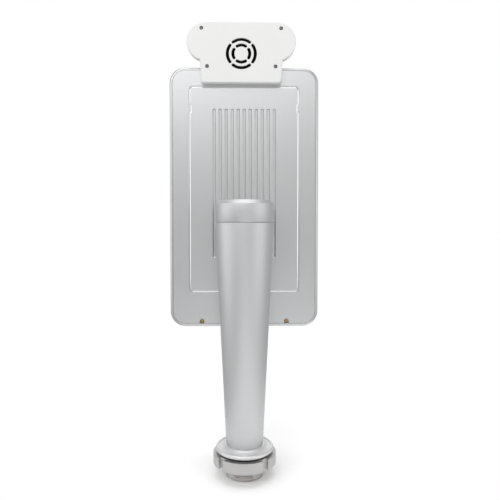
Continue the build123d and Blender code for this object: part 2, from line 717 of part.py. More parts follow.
with BuildPart() as tilt_nuts:
    for side in both_sides:
        with BuildSketch(Plane.YZ.offset(side * (LUG_INNER_X - FACE_GAP))):
            with Locations((-TILT_DEPTH, TILT_Z)):
                RegularPolygon(TILT_NUT_R, 6)
                Circle(TILT_BOLT_R + STATIC_FIT, mode=Mode.SUBTRACT)
        extrude(amount=-side * TILT_NUT_T)

# ---- Bracket and cable entry on the terminal's back ----

lug_root = (-BRACKET_BACK, LUG_ROOT_Z)
lug_slope = math.radians(LUG_SLOPE_DEG)
lug_tangent = (-TILT_DEPTH + LUG_R * math.cos(lug_slope), TILT_Z - LUG_R * math.sin(lug_slope))
with BuildPart() as tilt_bracket:
    with BuildSketch(facing(BRACKET_BACK)):
        with Locations((0, (BRACKET_LOW_Z + BRACKET_TOP_Z) / 2)):
            RectangleRounded(BRACKET_W, BRACKET_TOP_Z - BRACKET_LOW_Z, BRACKET_CORNER_R)
    extrude(amount=BRACKET_T)
    for side in both_sides:
        with BuildSketch(Plane.YZ.offset(side * LUG_INNER_X)):
            Polygon(
                (-TERMINAL_BACK, LUG_ROOT_Z),
                lug_root,
                lug_tangent,
                (-TILT_DEPTH, TILT_Z + LUG_R),
                (-TERMINAL_BACK, TILT_Z + LUG_R),
                align=None,
            )
            with Locations((-TILT_DEPTH, TILT_Z)):
                Circle(LUG_R)
        extrude(amount=side * (LUG_OUTER_X - LUG_INNER_X))
    with BuildSketch(Plane.YZ.offset(-EAR_OUTER_X)):
        with Locations((-TILT_DEPTH, TILT_Z)):
            Circle(TILT_BOLT_R + RUNNING_FIT)
    extrude(amount=2 * EAR_OUTER_X, mode=Mode.SUBTRACT)
    with BuildSketch(facing(BRACKET_BACK)):
        with Locations(*bracket_screw_places):
            Circle(BRACKET_SCREW_R + STATIC_FIT)
    extrude(amount=BRACKET_T, mode=Mode.SUBTRACT)

bracket_screws = screws(
    bracket_screw_places,
    BRACKET_SCREW_HEAD_R,
    BRACKET_SCREW_HEAD_T,
    BRACKET_SCREW_R,
    BRACKET_BACK - BRACKET_SCREW_HEAD_T,
    BRACKET_T + PANEL_INSIDE - TERMINAL_BACK - LOOSE_FIT,
)

with BuildPart() as tilt_washers:
    for side in both_sides:
        with BuildSketch(Plane.YZ.offset(side * (LUG_OUTER_X + STATIC_FIT))):
            with Locations((-TILT_DEPTH, TILT_Z)):
                Circle(TILT_WASHER_R)
                Circle(TILT_BOLT_R + RUNNING_FIT, mode=Mode.SUBTRACT)
        extrude(amount=side * (EAR_INNER_X - LUG_OUTER_X - 2 * STATIC_FIT))

with BuildPart() as cable_grommet:
    with BuildSketch(facing(TERMINAL_BACK - GROMMET_LIP)):
        with Locations((0, TILT_Z)):
            Circle(GROMMET_R)
    extrude(amount=GROMMET_LIP)
    with BuildSketch(facing(TERMINAL_BACK)):
        with Locations((0, TILT_Z)):
            Circle(GROMMET_NECK_R)
    extrude(amount=PANEL_INSIDE - TERMINAL_BACK)
    with BuildSketch(facing(TERMINAL_BACK - GROMMET_LIP)):
        with Locations((0, TILT_Z)):
            Circle(GROMMET_BORE_R)
    extrude(amount=GROMMET_LIP + PANEL_INSIDE - TERMINAL_BACK, mode=Mode.SUBTRACT)

# ---- Terminal housing ----

# Rear shell: a rounded tray with a bevelled back edge and a window for the heat sink panel
with BuildPart() as rear_shell:
    with BuildSketch(facing(TERMINAL_BACK)):
        add(terminal_face())
    extrude(amount=SHELL_T)
    chamfer(rear_shell.edges().group_by(Axis.Y)[-1], SHELL_EDGE_W, SHELL_EDGE_DEPTH)
    with BuildSketch(facing(SHELL_FLOOR)):
        add(terminal_face(SHELL_WALL))
    extrude(amount=SHELL_T - SHELL_BACK_T, mode=Mode.SUBTRACT)
    with BuildSketch(facing(SHELL_FLOOR)):
        with Locations(*case_screw_places):
            Circle(PILLAR_R)
    extrude(amount=BOSS_H)
    with BuildSketch(facing(TERMINAL_BACK)):
        add(panel_face(PANEL_GROOVE))
    extrude(amount=SHELL_BACK_T, mode=Mode.SUBTRACT)
    with BuildSketch(facing(TERMINAL_BACK)):
        with Locations(*case_screw_places):
            Circle(CASE_SCREW_HEAD_R + CASE_SCREW_RECESS)
    extrude(amount=CASE_SCREW_SUNK + CASE_SCREW_HEAD_T, mode=Mode.SUBTRACT)
    with BuildSketch(facing(TERMINAL_BACK)):
        with Locations(*case_screw_places):
            Circle(CASE_SCREW_R + STATIC_FIT)
        with Locations(*head_mount_places):
            Circle(HEAD_MOUNT_SCREW_R + STATIC_FIT)
        with Locations((HEAD_X, HEAD_MOUNT_Z)):
            Rectangle(PLUG_W + LOOSE_FIT, PLUG_H + LOOSE_FIT)
    extrude(amount=SHELL_BACK_T + BOSS_H, mode=Mode.SUBTRACT)

case_screws = screws(
    case_screw_places,
    CASE_SCREW_HEAD_R,
    CASE_SCREW_HEAD_T,
    CASE_SCREW_R,
    TERMINAL_BACK + CASE_SCREW_SUNK,
    CASE_SCREW_LENGTH,
)

# Heat sink panel, flush with the shell's back and fluted outside: a step makes the floor of the
# groove round it, and a lip lies behind the window
with BuildPart() as heatsink_panel:
    with BuildSketch(facing(TERMINAL_BACK)):
        add(panel_face())
    extrude(amount=SHELL_BACK_T)
    with BuildSketch(facing(TERMINAL_BACK + PANEL_GROOVE_DEPTH)):
        add(panel_face(PANEL_GROOVE - STATIC_FIT))
    extrude(amount=SHELL_BACK_T - PANEL_GROOVE_DEPTH)
    with BuildSketch(facing(SHELL_FLOOR)):
        with Locations((0, PANEL_MID_Z)):
            lip = PANEL_GROOVE + PANEL_LIP
            RectangleRounded(PANEL_W + 2 * lip, PANEL_H + 2 * lip, PANEL_CORNER_R + lip)
    extrude(amount=PANEL_LIP_T)
    with BuildSketch(facing(TERMINAL_BACK)):
        with Locations((0, FLUTE_MID_Z)):
            with GridLocations(FLUTE_PITCH, 1, FLUTES, 1):
                SlotOverall(FLUTE_LENGTH, FLUTE_W, rotation=90)
    extrude(amount=FLUTE_DEPTH, mode=Mode.SUBTRACT)
    with BuildSketch(facing(TERMINAL_BACK)):
        with Locations(*bracket_screw_places):
            Circle(BRACKET_SCREW_R + STATIC_FIT)
        with Locations((0, TILT_Z)):
            Circle(GROMMET_NECK_R + STATIC_FIT)
    extrude(amount=SHELL_BACK_T + PANEL_LIP_T, mode=Mode.SUBTRACT)
    with BuildSketch(facing(SHELL_FLOOR)):
        with Locations(*panel_screw_places):
            Circle(PANEL_SCREW_R + STATIC_FIT)
    extrude(amount=PANEL_LIP_T, mode=Mode.SUBTRACT)

# Screws from inside that hold the panel's lip to the shell
with BuildPart() as panel_screws:
    with BuildSketch(facing(PANEL_INSIDE)):
        with Locations(*panel_screw_places):
            Circle(PANEL_SCREW_HEAD_R)
    extrude(amount=PANEL_SCREW_HEAD_T)
    with BuildSketch(facing(SHELL_FLOOR)):
        with Locations(*panel_screw_places):
            Circle(PANEL_SCREW_R)
    extrude(amount=PANEL_LIP_T)

# Front frame: a ring with a ledge for the glass and two pillars for the case screws
with BuildPart() as front_frame:
    with BuildSketch(facing(SHELL_FRONT)):
        add(terminal_face())
    extrude(amount=FRAME_T)
    chamfer(front_frame.edges().group_by(Axis.Y)[0], FRAME_BEVEL)
    with BuildSketch(facing(SHELL_FRONT)):
        add(terminal_face(FRAME_LEDGE))
    extrude(amount=FRAME_T, mode=Mode.SUBTRACT)
    with BuildSketch(facing(LEDGE_FRONT)):
        add(terminal_face(FRAME_RIM))
    extrude(amount=GLASS_T + GLASS_GASKET_T, mode=Mode.SUBTRACT)
    with BuildSketch(facing(SHELL_FLOOR + BOSS_H)):
        with Locations(*case_screw_places):
            Circle(PILLAR_R)
        add(terminal_face(SHELL_WALL + LOOSE_FIT), mode=Mode.INTERSECT)
    extrude(amount=LEDGE_FRONT - SHELL_FLOOR - BOSS_H)
    with BuildSketch(facing(SHELL_FLOOR + BOSS_H)):
        with Locations(*case_screw_places):
            Circle(CASE_SCREW_R + STATIC_FIT)
    extrude(amount=CASE_SCREW_LENGTH - BOSS_H + LOOSE_FIT, mode=Mode.SUBTRACT)

with BuildPart() as glass_gasket:
    with BuildSketch(facing(LEDGE_FRONT)):
        add(terminal_face(FRAME_RIM + STATIC_FIT))
        add(terminal_face(FRAME_RIM + GLASS_GASKET_W), mode=Mode.SUBTRACT)
    extrude(amount=GLASS_GASKET_T)

with BuildPart() as front_glass:
    with BuildSketch(facing(GLASS_BACK)):
        add(terminal_face(FRAME_RIM + STATIC_FIT))
    extrude(amount=GLASS_T)

# ---- Electronics inside the terminal ----

# Chassis plate that carries the display in front and the board behind
with BuildPart() as screen_chassis:
    with BuildSketch(facing(CHASSIS_BACK)):
        add(terminal_face(SHELL_WALL + LOOSE_FIT))
        with Locations(*case_screw_places):
            Circle(PILLAR_R + LOOSE_FIT, mode=Mode.SUBTRACT)
        with Locations(*standoff_places):
            Circle(BOARD_SCREW_R + STATIC_FIT, mode=Mode.SUBTRACT)
        with Locations(*chassis_screw_places):
            Circle(BOARD_SCREW_R + STATIC_FIT, mode=Mode.SUBTRACT)
    extrude(amount=CHASSIS_T)

with BuildPart() as chassis_screws:
    with BuildSketch(facing(CHASSIS_BACK - BOARD_SCREW_HEAD_T)):
        with Locations(*chassis_screw_places):
            Circle(CHASSIS_SCREW_HEAD_R)
    extrude(amount=BOARD_SCREW_HEAD_T)
    with BuildSketch(facing(CHASSIS_BACK)):
        with Locations(*chassis_screw_places):
            Circle(BOARD_SCREW_R)
    extrude(amount=CHASSIS_T)

with BuildPart() as display_module:
    with BuildSketch(facing(SHELL_FRONT)):
        with Locations((0, (DISPLAY_LOW_Z + DISPLAY_TOP_Z) / 2)):
            RectangleRounded(DISPLAY_W, DISPLAY_TOP_Z - DISPLAY_LOW_Z, DISPLAY_CORNER_R)
    extrude(amount=GLASS_BACK - SHELL_FRONT - FACE_GAP)

with BuildPart() as main_board:
    with BuildSketch(facing(BOARD_BACK)):
        with Locations((0, (BOARD_LOW_Z + BOARD_TOP_Z) / 2)):
            RectangleRounded(BOARD_W, BOARD_TOP_Z - BOARD_LOW_Z, BOARD_CORNER_R)
        with Locations(*standoff_places):
            Circle(BOARD_SCREW_R + STATIC_FIT, mode=Mode.SUBTRACT)
    extrude(amount=BOARD_T)

with BuildPart() as board_standoffs:
    with BuildSketch(facing(BOARD_FRONT)):
        with Locations(*standoff_places):
            RegularPolygon(STANDOFF_R, 6)
            Circle(BOARD_SCREW_R + STATIC_FIT, mode=Mode.SUBTRACT)
    extrude(amount=CHASSIS_BACK - BOARD_FRONT)

board_screws = screws(
    standoff_places,
    BOARD_SCREW_HEAD_R,
    BOARD_SCREW_HEAD_T,
    BOARD_SCREW_R,
    BOARD_BACK - BOARD_SCREW_HEAD_T,
    SHELL_FRONT - BOARD_BACK,
)

with BuildPart() as processor_shield:
    with BuildSketch(facing(PANEL_INSIDE + PAD_T)):
        with Locations((0, SHIELD_Z)):
            RectangleRounded(SHIELD_SIZE, SHIELD_SIZE, SHIELD_CORNER_R)
    extrude(amount=SHIELD_T)

with BuildPart() as thermal_pad:
    with BuildSketch(facing(PANEL_INSIDE)):
        with Locations((0, SHIELD_Z)):
            Rectangle(PAD_SIZE, PAD_SIZE)
    extrude(amount=PAD_T)

with BuildPart() as camera_board:
    with BuildSketch(facing(SHELL_FRONT)):
        with Locations((0, CAMERA_Z)):
            RectangleRounded(CAMERA_BOARD_W, CAMERA_BOARD_H, SMALL_BOARD_CORNER_R)
    extrude(amount=CAMERA_BOARD_T)

# Colour and infrared cameras, one lens barrel each
with BuildPart() as camera_lenses:
    with BuildSketch(facing(SHELL_FRONT + CAMERA_BOARD_T)):
        with Locations((CAMERA_X, CAMERA_Z), (-CAMERA_X, CAMERA_Z)):
            Circle(CAMERA_LENS_R)
    extrude(amount=GLASS_BACK - SHELL_FRONT - CAMERA_BOARD_T - FACE_GAP)

with BuildPart() as fill_light_boards:
    with BuildSketch(facing(SHELL_FRONT)):
        with Locations((LIGHT_BOARD_X, CAMERA_Z), (-LIGHT_BOARD_X, CAMERA_Z)):
            RectangleRounded(LIGHT_BOARD_W, LIGHT_BOARD_H, SMALL_BOARD_CORNER_R)
    extrude(amount=LIGHT_BOARD_T)

with BuildPart() as reader_antenna:
    with BuildSketch(facing(SHELL_FRONT)):
        with Locations((0, ANTENNA_Z)):
            RectangleRounded(ANTENNA_W, ANTENNA_H, SMALL_BOARD_CORNER_R)
    extrude(amount=ANTENNA_T)

# ---- Sensor head ----

# Housing: a plate on the terminal's back and a box that reaches forward over its top edge
with BuildPart() as head_housing:
    with BuildSketch(facing(HOUSING_BACK)):
        add(head_face())
    extrude(amount=TERMINAL_BACK - HOUSING_BACK)
    with BuildSketch(facing(HOUSING_BACK)):
        add(head_box_face())
    extrude(amount=HEAD_FRONT - HOUSING_BACK)
    fillet(head_housing.edges().group_by(Axis.Y)[0], HEAD_FRONT_ROUND)
    with BuildSketch(facing(HOUSING_BACK)):
        add(head_box_face(HEAD_WALL))
    extrude(amount=HEAD_FRONT_WALL - HOUSING_BACK, mode=Mode.SUBTRACT)
    # room for the loudspeaker's basket
    with BuildSketch(facing(HOUSING_BACK)):
        with Locations((HEAD_X, GRILLE_Z)):
            Circle(BASKET_ROOM_R)
    extrude(amount=TERMINAL_BACK - HOUSING_BACK - BASKET_ROOM_FLOOR, mode=Mode.SUBTRACT)
    # pillars for the cover's screws
    with BuildSketch(facing(COVER_INSIDE)):
        with Locations(*cover_screw_places):
            Circle(COVER_PILLAR_R)
    extrude(amount=HOUSING_BACK - COVER_INSIDE)
    with BuildSketch(facing(COVER_INSIDE)):
        with Locations(*cover_screw_places):
            Circle(COVER_SCREW_R + STATIC_FIT)
    extrude(amount=COVER_SCREW_LENGTH - LOOSE_FIT, mode=Mode.SUBTRACT)
    # holes towards the terminal, then the window's recess and the lens hole in front
    with BuildSketch(facing(HOUSING_BACK)):
        with Locations(*head_mount_places):
            Circle(HEAD_MOUNT_SCREW_R + STATIC_FIT)
        with Locations((HEAD_X, HEAD_MOUNT_Z)):
            Rectangle(PLUG_W + LOOSE_FIT, PLUG_H + LOOSE_FIT)
    extrude(amount=TERMINAL_BACK - HOUSING_BACK, mode=Mode.SUBTRACT)
    with BuildSketch(facing(HEAD_FRONT - WINDOW_T)):
        with Locations((HEAD_X, SENSOR_Z)):
            SlotOverall(WINDOW_W, WINDOW_H)
    extrude(amount=WINDOW_T, mode=Mode.SUBTRACT)
    with BuildSketch(facing(HEAD_FRONT_WALL)):
        with Locations((HEAD_X, SENSOR_Z)):
            Circle(LENS_R + STATIC_FIT)
        with Locations((HEAD_X + HEAD_LIGHT_X, SENSOR_Z), (HEAD_X - HEAD_LIGHT_X, SENSOR_Z)):
            Circle(HEAD_LIGHT_R)
    extrude(amount=HEAD_WALL, mode=Mode.SUBTRACT)

head_mount_screws = screws(
    head_mount_places,
    HEAD_MOUNT_HEAD_R,
    HEAD_MOUNT_HEAD_T,
    HEAD_MOUNT_SCREW_R,
    HOUSING_BACK - HEAD_MOUNT_HEAD_T,
    SHELL_FLOOR - HOUSING_BACK + HEAD_MOUNT_BITE,
)

with BuildPart() as head_plug:
    with BuildSketch(facing(COVER_INSIDE + PLUG_INSET)):
        with Locations((HEAD_X, HEAD_MOUNT_Z)):
            Rectangle(PLUG_W, PLUG_H)
    extrude(amount=BOARD_BACK - COVER_INSIDE - PLUG_INSET)

with BuildPart() as head_gasket:
    with BuildSketch(facing(COVER_FRONT)):
        add(head_face(LOOSE_FIT))
        add(head_face(HEAD_WALL), mode=Mode.SUBTRACT)
    extrude(amount=HEAD_GASKET_T)

# Rear cover with the slotted grille and four sunk screw holes
with BuildPart() as head_rear_cover:
    with BuildSketch(facing(HEAD_BACK)):
        add(head_face())
    extrude(amount=COVER_T)
    chamfer(head_rear_cover.edges().group_by(Axis.Y)[-1], HEAD_EDGE)
    with BuildSketch(facing(COVER_INSIDE)):
        add(head_face(HEAD_WALL))
    extrude(amount=COVER_T - HEAD_WALL, mode=Mode.SUBTRACT)
    with BuildSketch(facing(HEAD_BACK)):
        rings = ((GRILLE_OUTER_R, GRILLE_OUTER_DEG), (GRILLE_INNER_R, GRILLE_INNER_DEG))
        for orbit, sweep in rings:
            turns = [turn * 360 / GRILLE_SLOTS_PER_RING for turn in range(GRILLE_SLOTS_PER_RING)]
            starts = [90 + turn - sweep / 2 for turn in turns]
            add(arc_slots((HEAD_X, GRILLE_Z), orbit, GRILLE_SLOT_W, starts, sweep))
    extrude(amount=HEAD_WALL, mode=Mode.SUBTRACT)
    with BuildSketch(facing(HEAD_BACK)):
        with Locations(*cover_screw_places):
            Circle(COVER_SCREW_HEAD_R + LOOSE_FIT)
    extrude(amount=COVER_SCREW_SUNK + COVER_SCREW_HEAD_T, mode=Mode.SUBTRACT)
    with BuildSketch(facing(HEAD_BACK)):
        with Locations(*cover_screw_places):
            Circle(COVER_SCREW_R + STATIC_FIT)
    extrude(amount=HEAD_WALL, mode=Mode.SUBTRACT)

head_cover_screws = screws(
    cover_screw_places,
    COVER_SCREW_HEAD_R,
    COVER_SCREW_HEAD_T,
    COVER_SCREW_R,
    HEAD_BACK + COVER_SCREW_SUNK,
    COVER_SCREW_LENGTH,
)

# ---- Loudspeaker behind the grille ----

with BuildPart() as grille_mesh:
    with BuildSketch(facing(COVER_INSIDE)):
        with Locations((HEAD_X, GRILLE_Z)):
            Circle(MESH_R)
    extrude(amount=MESH_T)

# Flange and open basket, turned about the loudspeaker's own axis
speaker_axis = Axis((HEAD_X, 0, GRILLE_Z), (0, 1, 0))
speaker_plane = Plane(origin=(HEAD_X, 0, GRILLE_Z), x_dir=(1, 0, 0), z_dir=(0, 0, 1))
with BuildPart() as speaker_frame:
    with BuildSketch(speaker_plane):
        Polygon(
            (BASKET_MOUTH_R, -SPEAKER_BACK),
            (SPEAKER_FLANGE_R, -SPEAKER_BACK),
            (SPEAKER_FLANGE_R, -BASKET_START),
            (BASKET_MOUTH_R, -BASKET_START),
            (BASKET_BACK_R, -MAGNET_START),
            (BASKET_BACK_R - BASKET_WALL, -MAGNET_START),
            (BASKET_MOUTH_R - BASKET_WALL, -BASKET_START),
            align=None,
        )
    revolve(axis=speaker_axis)

with BuildPart() as speaker_cone:
    with BuildSketch(speaker_plane):
        Polygon(
            (CONE_MOUTH_R, -SPEAKER_BACK - CONE_T),
            (0, -SPEAKER_BACK - CONE_T - CONE_DEPTH),
            (0, -SPEAKER_BACK - 2 * CONE_T - CONE_DEPTH),
            (CONE_MOUTH_R, -SPEAKER_BACK - 2 * CONE_T),
            align=None,
        )
    revolve(axis=speaker_axis)

with BuildPart() as speaker_magnet:
    with BuildSketch(facing(MAGNET_START)):
        with Locations((HEAD_X, GRILLE_Z)):
            Circle(MAGNET_R)
    extrude(amount=MAGNET_T)
    chamfer(speaker_magnet.edges().group_by(Axis.Y)[0], MAGNET_BEVEL)

# ---- Sensors in the head's front ----

with BuildPart() as head_board:
    with BuildSketch(facing(HEAD_BOARD_DEPTH)):
        add(head_box_face(HEAD_WALL + HEAD_BOARD_GAP))
    extrude(amount=HEAD_BOARD_T)

with BuildPart() as thermal_sensor:
    with BuildSketch(facing(SENSOR_START)):
        with Locations((HEAD_X, SENSOR_Z)):
            Circle(SENSOR_R)
    extrude(amount=HEAD_FRONT_WALL - SENSOR_START - FACE_GAP)

with BuildPart() as sensor_lens:
    with BuildSketch(facing(HEAD_FRONT_WALL - FACE_GAP)):
        with Locations((HEAD_X, SENSOR_Z)):
            Circle(LENS_R)
    extrude(amount=HEAD_WALL)

with BuildPart() as head_lights:
    with BuildSketch(facing(SENSOR_START)):
        with Locations((HEAD_X + HEAD_LIGHT_X, SENSOR_Z), (HEAD_X - HEAD_LIGHT_X, SENSOR_Z)):
            Circle(HEAD_LIGHT_R)
    extrude(amount=HEAD_LIGHT_T)

with BuildPart() as head_window:
    with BuildSketch(facing(HEAD_FRONT - WINDOW_T)):
        with Locations((HEAD_X, SENSOR_Z)):
            SlotOverall(WINDOW_W - 2 * STATIC_FIT, WINDOW_H - 2 * STATIC_FIT)
            Circle(LENS_R + STATIC_FIT, mode=Mode.SUBTRACT)
    extrude(amount=WINDOW_T)

# ---- Labels and files ----

pieces = {
    "column_tube": column_tube,
    "base_flange": base_flange,
    "flange_gasket": flange_gasket,
    "threaded_stud": threaded_stud,
    "top_insert": top_insert,
    "swivel_bush": swivel_bush,
    "stop_pin": stop_pin,
    "clamp_washer": clamp_washer,
    "ring_nut": ring_nut,
    "swivel_collar": swivel_collar,
    "wave_washer": wave_washer,
    "swivel_nut": swivel_nut,
    "tilt_bolts": tilt_bolts,
    "tilt_nuts": tilt_nuts,
    "tilt_washers": tilt_washers,
    "tilt_bracket": tilt_bracket,
    "bracket_screws": bracket_screws,
    "cable_grommet": cable_grommet,
    "rear_shell": rear_shell,
    "case_screws": case_screws,
    "heatsink_panel": heatsink_panel,
    "panel_screws": panel_screws,
    "front_frame": front_frame,
    "glass_gasket": glass_gasket,
    "front_glass": front_glass,
    "screen_chassis": screen_chassis,
    "chassis_screws": chassis_screws,
    "display_module": display_module,
    "main_board": main_board,
    "board_standoffs": board_standoffs,
    "board_screws": board_screws,
    "processor_shield": processor_shield,
    "thermal_pad": thermal_pad,
    "camera_board": camera_board,
    "camera_lenses": camera_lenses,
    "fill_light_boards": fill_light_boards,
    "reader_antenna": reader_antenna,
    "head_housing": head_housing,
    "head_mount_screws": head_mount_screws,
    "head_plug": head_plug,
    "head_gasket": head_gasket,
    "head_rear_cover": head_rear_cover,
    "head_cover_screws": head_cover_screws,
    "grille_mesh": grille_mesh,
    "speaker_frame": speaker_frame,
    "speaker_cone": speaker_cone,
    "speaker_magnet": speaker_magnet,
    "head_board": head_board,
    "thermal_sensor": thermal_sensor,
    "sensor_lens": sensor_lens,
    "head_lights": head_lights,
    "head_window": head_window,
}
for name, piece in pieces.items():
    piece.part.label = name
    export_step(piece.part, f"parts/{name}.step")
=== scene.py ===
"""Surfaces, finishes and studio for a face and fare terminal on a tapered column.

The CAD model is the fixed frame: X runs across the terminal, -Y is the screen's side, and
+Z is up. Sizes named here are in millimetres, and a depth is a distance in front of the
column's axis, towards the screen. Meshes are put down in metres.
"""

import json
import math

import bmesh
import bpy
import numpy as np
from bpy.props import FloatProperty, FloatVectorProperty, PointerProperty
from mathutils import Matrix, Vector
from mathutils.geometry import tessellate_polygon


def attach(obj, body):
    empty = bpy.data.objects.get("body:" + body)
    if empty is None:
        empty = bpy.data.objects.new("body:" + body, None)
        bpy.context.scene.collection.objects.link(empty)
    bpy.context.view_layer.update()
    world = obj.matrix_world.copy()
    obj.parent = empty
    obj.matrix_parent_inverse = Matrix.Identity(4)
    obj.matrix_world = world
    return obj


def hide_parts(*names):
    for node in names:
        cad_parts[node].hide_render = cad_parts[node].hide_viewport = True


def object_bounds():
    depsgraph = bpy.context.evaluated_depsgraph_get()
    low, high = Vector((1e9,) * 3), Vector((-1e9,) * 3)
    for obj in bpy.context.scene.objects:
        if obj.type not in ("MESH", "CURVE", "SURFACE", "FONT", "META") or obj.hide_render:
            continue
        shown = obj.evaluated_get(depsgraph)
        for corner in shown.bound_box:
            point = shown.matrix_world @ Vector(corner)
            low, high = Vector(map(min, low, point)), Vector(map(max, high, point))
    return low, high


bl_info = {
    "name": "Column fare terminal",
    "version": (1, 0, 0),
    "blender": (4, 5, 0),
    "location": "3D View > Sidebar > Fare terminal",
    "description": "Surfaces and finishes for a face and fare terminal on a tapered column",
    "category": "Object",
}

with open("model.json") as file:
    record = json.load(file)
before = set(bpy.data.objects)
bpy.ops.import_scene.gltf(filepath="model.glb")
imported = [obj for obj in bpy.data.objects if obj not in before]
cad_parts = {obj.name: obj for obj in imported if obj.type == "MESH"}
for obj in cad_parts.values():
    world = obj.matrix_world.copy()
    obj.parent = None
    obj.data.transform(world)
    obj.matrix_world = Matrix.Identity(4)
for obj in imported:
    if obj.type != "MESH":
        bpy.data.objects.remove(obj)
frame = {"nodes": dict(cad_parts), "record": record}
CAD_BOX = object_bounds()

MM = 0.001
FULL_TURN = 2 * math.pi
MERGE_MM = 0.002
HELD_TIGHT = 0.02
# face attribute marking the chamfers and flute lips that get a painted highlight and a polish
EDGE_HIGHLIGHT_AND_POLISH = "cut_edge"

# ---- Sizes shared with the CAD model, in millimetres ----

COLUMN_TOP_R, COLUMN_FOOT_R = 26.0, 16.5
COLUMN_FOOT_Z, COLUMN_TOP_Z = 4.8, 202.5
TOP_SOCKET_R, TOP_SOCKET_Z = 22.6, 180.0
FOOT_SOCKET_R, FOOT_SOCKET_Z = 13.9, 22.0
COLUMN_WALL = 2.6

FLANGE_R, FLANGE_T, FLANGE_BEAD_R, SHOULDER_R = 25.5, 3.1, 1.3, 18.2
FLANGE_DISH, FLANGE_RIM_BEVEL, SHOULDER_BEVEL = 0.5, 0.2, 0.35
GASKET_INNER_R, GASKET_OUTER_R, GASKET_T = 18.6, 21.6, 1.5

THREAD_R, STUD_LENGTH, STUD_END_ROUND, CABLE_BORE_R = 17.5, 23.2, 3.0, 11.0
NECK_R, NECK_TOP_Z = 13.85, 21.7

NUT_R, NUT_TOP_Z, NUT_LOW_Z = 28.0, -2.2, -11.9
NUT_BORE_R, NUT_NOTCHES, NUT_NOTCH_W, NUT_NOTCH_DEPTH = 17.56, 4, 5.6, 3.2
NUT_FIRST_NOTCH = math.radians(41.0)
NUT_RECESS_R, NUT_RECESS, NUT_BORE_BEVEL = 24.5, 0.7, 0.4
NUT_NOTCH_ROUND, NUT_MOUTH_ROUND = 0.7, 0.45

TERMINAL_W, TERMINAL_H, TERMINAL_LOW_Z, TERMINAL_CORNER_R = 142.0, 247.6, 101.8, 15.0
TERMINAL_BACK, SHELL_FRONT, SHELL_WALL, SHELL_BACK_T = 38.0, 57.6, 2.5, 2.5
CASE_SCREW_X, CASE_SCREW_Z, CASE_RECESS_R = 40.7, 106.7, 2.5
CASE_SCREW_SUNK, CASE_RECESS_DEPTH = 0.6, 1.9
CASE_SCREW_HEAD_R, CASE_SCREW_HEAD_T, CASE_SCREW_R, CASE_SCREW_LENGTH = 1.9, 1.3, 1.0, 17.0
# the rim from the flat face outwards, as (across, deeper) steps: first the fine line, with its
# depth as a share of the setting, and then the rounding
RIM_LINE = ((-3.05, 0.0), (-2.90, 0.7), (-2.75, 1.0), (-2.60, 0.6))
RIM_ROUND = (
    (-2.45, 0.02), (-1.9, 0.10), (-1.3, 0.32), (-0.75, 0.70), (-0.3, 1.25), (-0.05, 1.95),
    (0.0, 2.8),
)

PANEL_W, PANEL_H, PANEL_MID_Z, PANEL_CORNER_R = 102.1, 193.8, 233.1, 2.5
PANEL_GROOVE, PANEL_LIP, PANEL_INSIDE = 1.6, 3.0, 42.5
TAB_IN, TAB_LOW_Z, TAB_HIGH_Z, TAB_CORNER_R = 1.1, 306.2, 315.2, 0.9
FLUTES, FLUTE_PITCH, FLUTE_W, FLUTE_DEPTH = 11, 5.73, 2.9, 1.4
FLUTE_LOW_Z, FLUTE_TOP_Z = 168.7, 310.4
FLUTE_BED = ((-0.12, 0.8), (-0.32, 1.12), (-0.62, 1.30), (-1.0, FLUTE_DEPTH))

GLASS_BACK, FRAME_FRONT, GLASS_INSET = 60.8, 62.6, 2.05
DISPLAY_W, DISPLAY_H, DISPLAY_MID_Z = 108.0, 172.0, 212.0
GLASS_EDGE = ((0.0, 0.45), (-0.1, 0.18), (-0.28, 0.05), (-0.5, 0.0))
CAMERA_X, CAMERA_Z, LAMP_X = 11.0, 330.0, 40.0
# CAMERA_HIGHLIGHT_RING_R is the outer radius of each camera window's painted highlight ring
CAMERA_HIGHLIGHT_RING_R, CAMERA_GLASS_R, CAMERA_IRIS_R, LAMP_R = 4.1, 3.3, 1.6, 3.4

HEAD_X, HEAD_W, HEAD_TOP_Z, HEAD_LOW_Z = 2.7, 102.6, 389.6, 333.2
HEAD_LOBE_R, HEAD_KINK, HEAD_STEM_FOOT_W, HEAD_STEM_ROUND = 18.0, math.radians(72.0), 74.9, 2.8
HEAD_BACK, COVER_INSIDE, COVER_FRONT, HEAD_WALL = 31.0, 33.0, 35.7, 2.0
COVER_SCREWS = ((37.3, 383.7), (32.1, 348.4))
COVER_RECESS_R, COVER_SCREW_SUNK, COVER_RECESS_DEPTH = 1.8, 0.35, 1.1
COVER_SCREW_HEAD_R, COVER_SCREW_HEAD_T, COVER_SCREW_R, COVER_SCREW_LENGTH = 1.6, 0.8, 0.95, 5.0
COVER_ROUND = ((-1.0, 0.0), (-0.62, 0.09), (-0.28, 0.30), (-0.07, 0.62), (0.0, 1.0))
GRILLE_Z, GRILLE_SLOT_W, GRILLE_SLOTS = 360.2, 2.8, 4
GRILLE_RINGS = ((13.1, math.radians(72.0)), (7.9, math.radians(60.0)))
CLOTH_R, CLOTH_T = 16.0, 0.4
CLOTH_BOW = ((-15.0, 0.12), (-9.0, 0.10), (-3.0, 0.03), (-0.1, 0.0), (0.0, 0.1))

# ---- Floor, camera and lights ----

FLOOR_MID, FLOOR_HALF, FLOOR_GAP = (-32.0, 350.0), (165.0, 750.0), 0.3
EYE_MM = (4.05, 463.17, 204.63)
EYE_YAW, EYE_DIP = math.radians(-1.0973), math.radians(1.8625)
SENSOR_W, LENS_SHIFT = 36.0, -0.0264
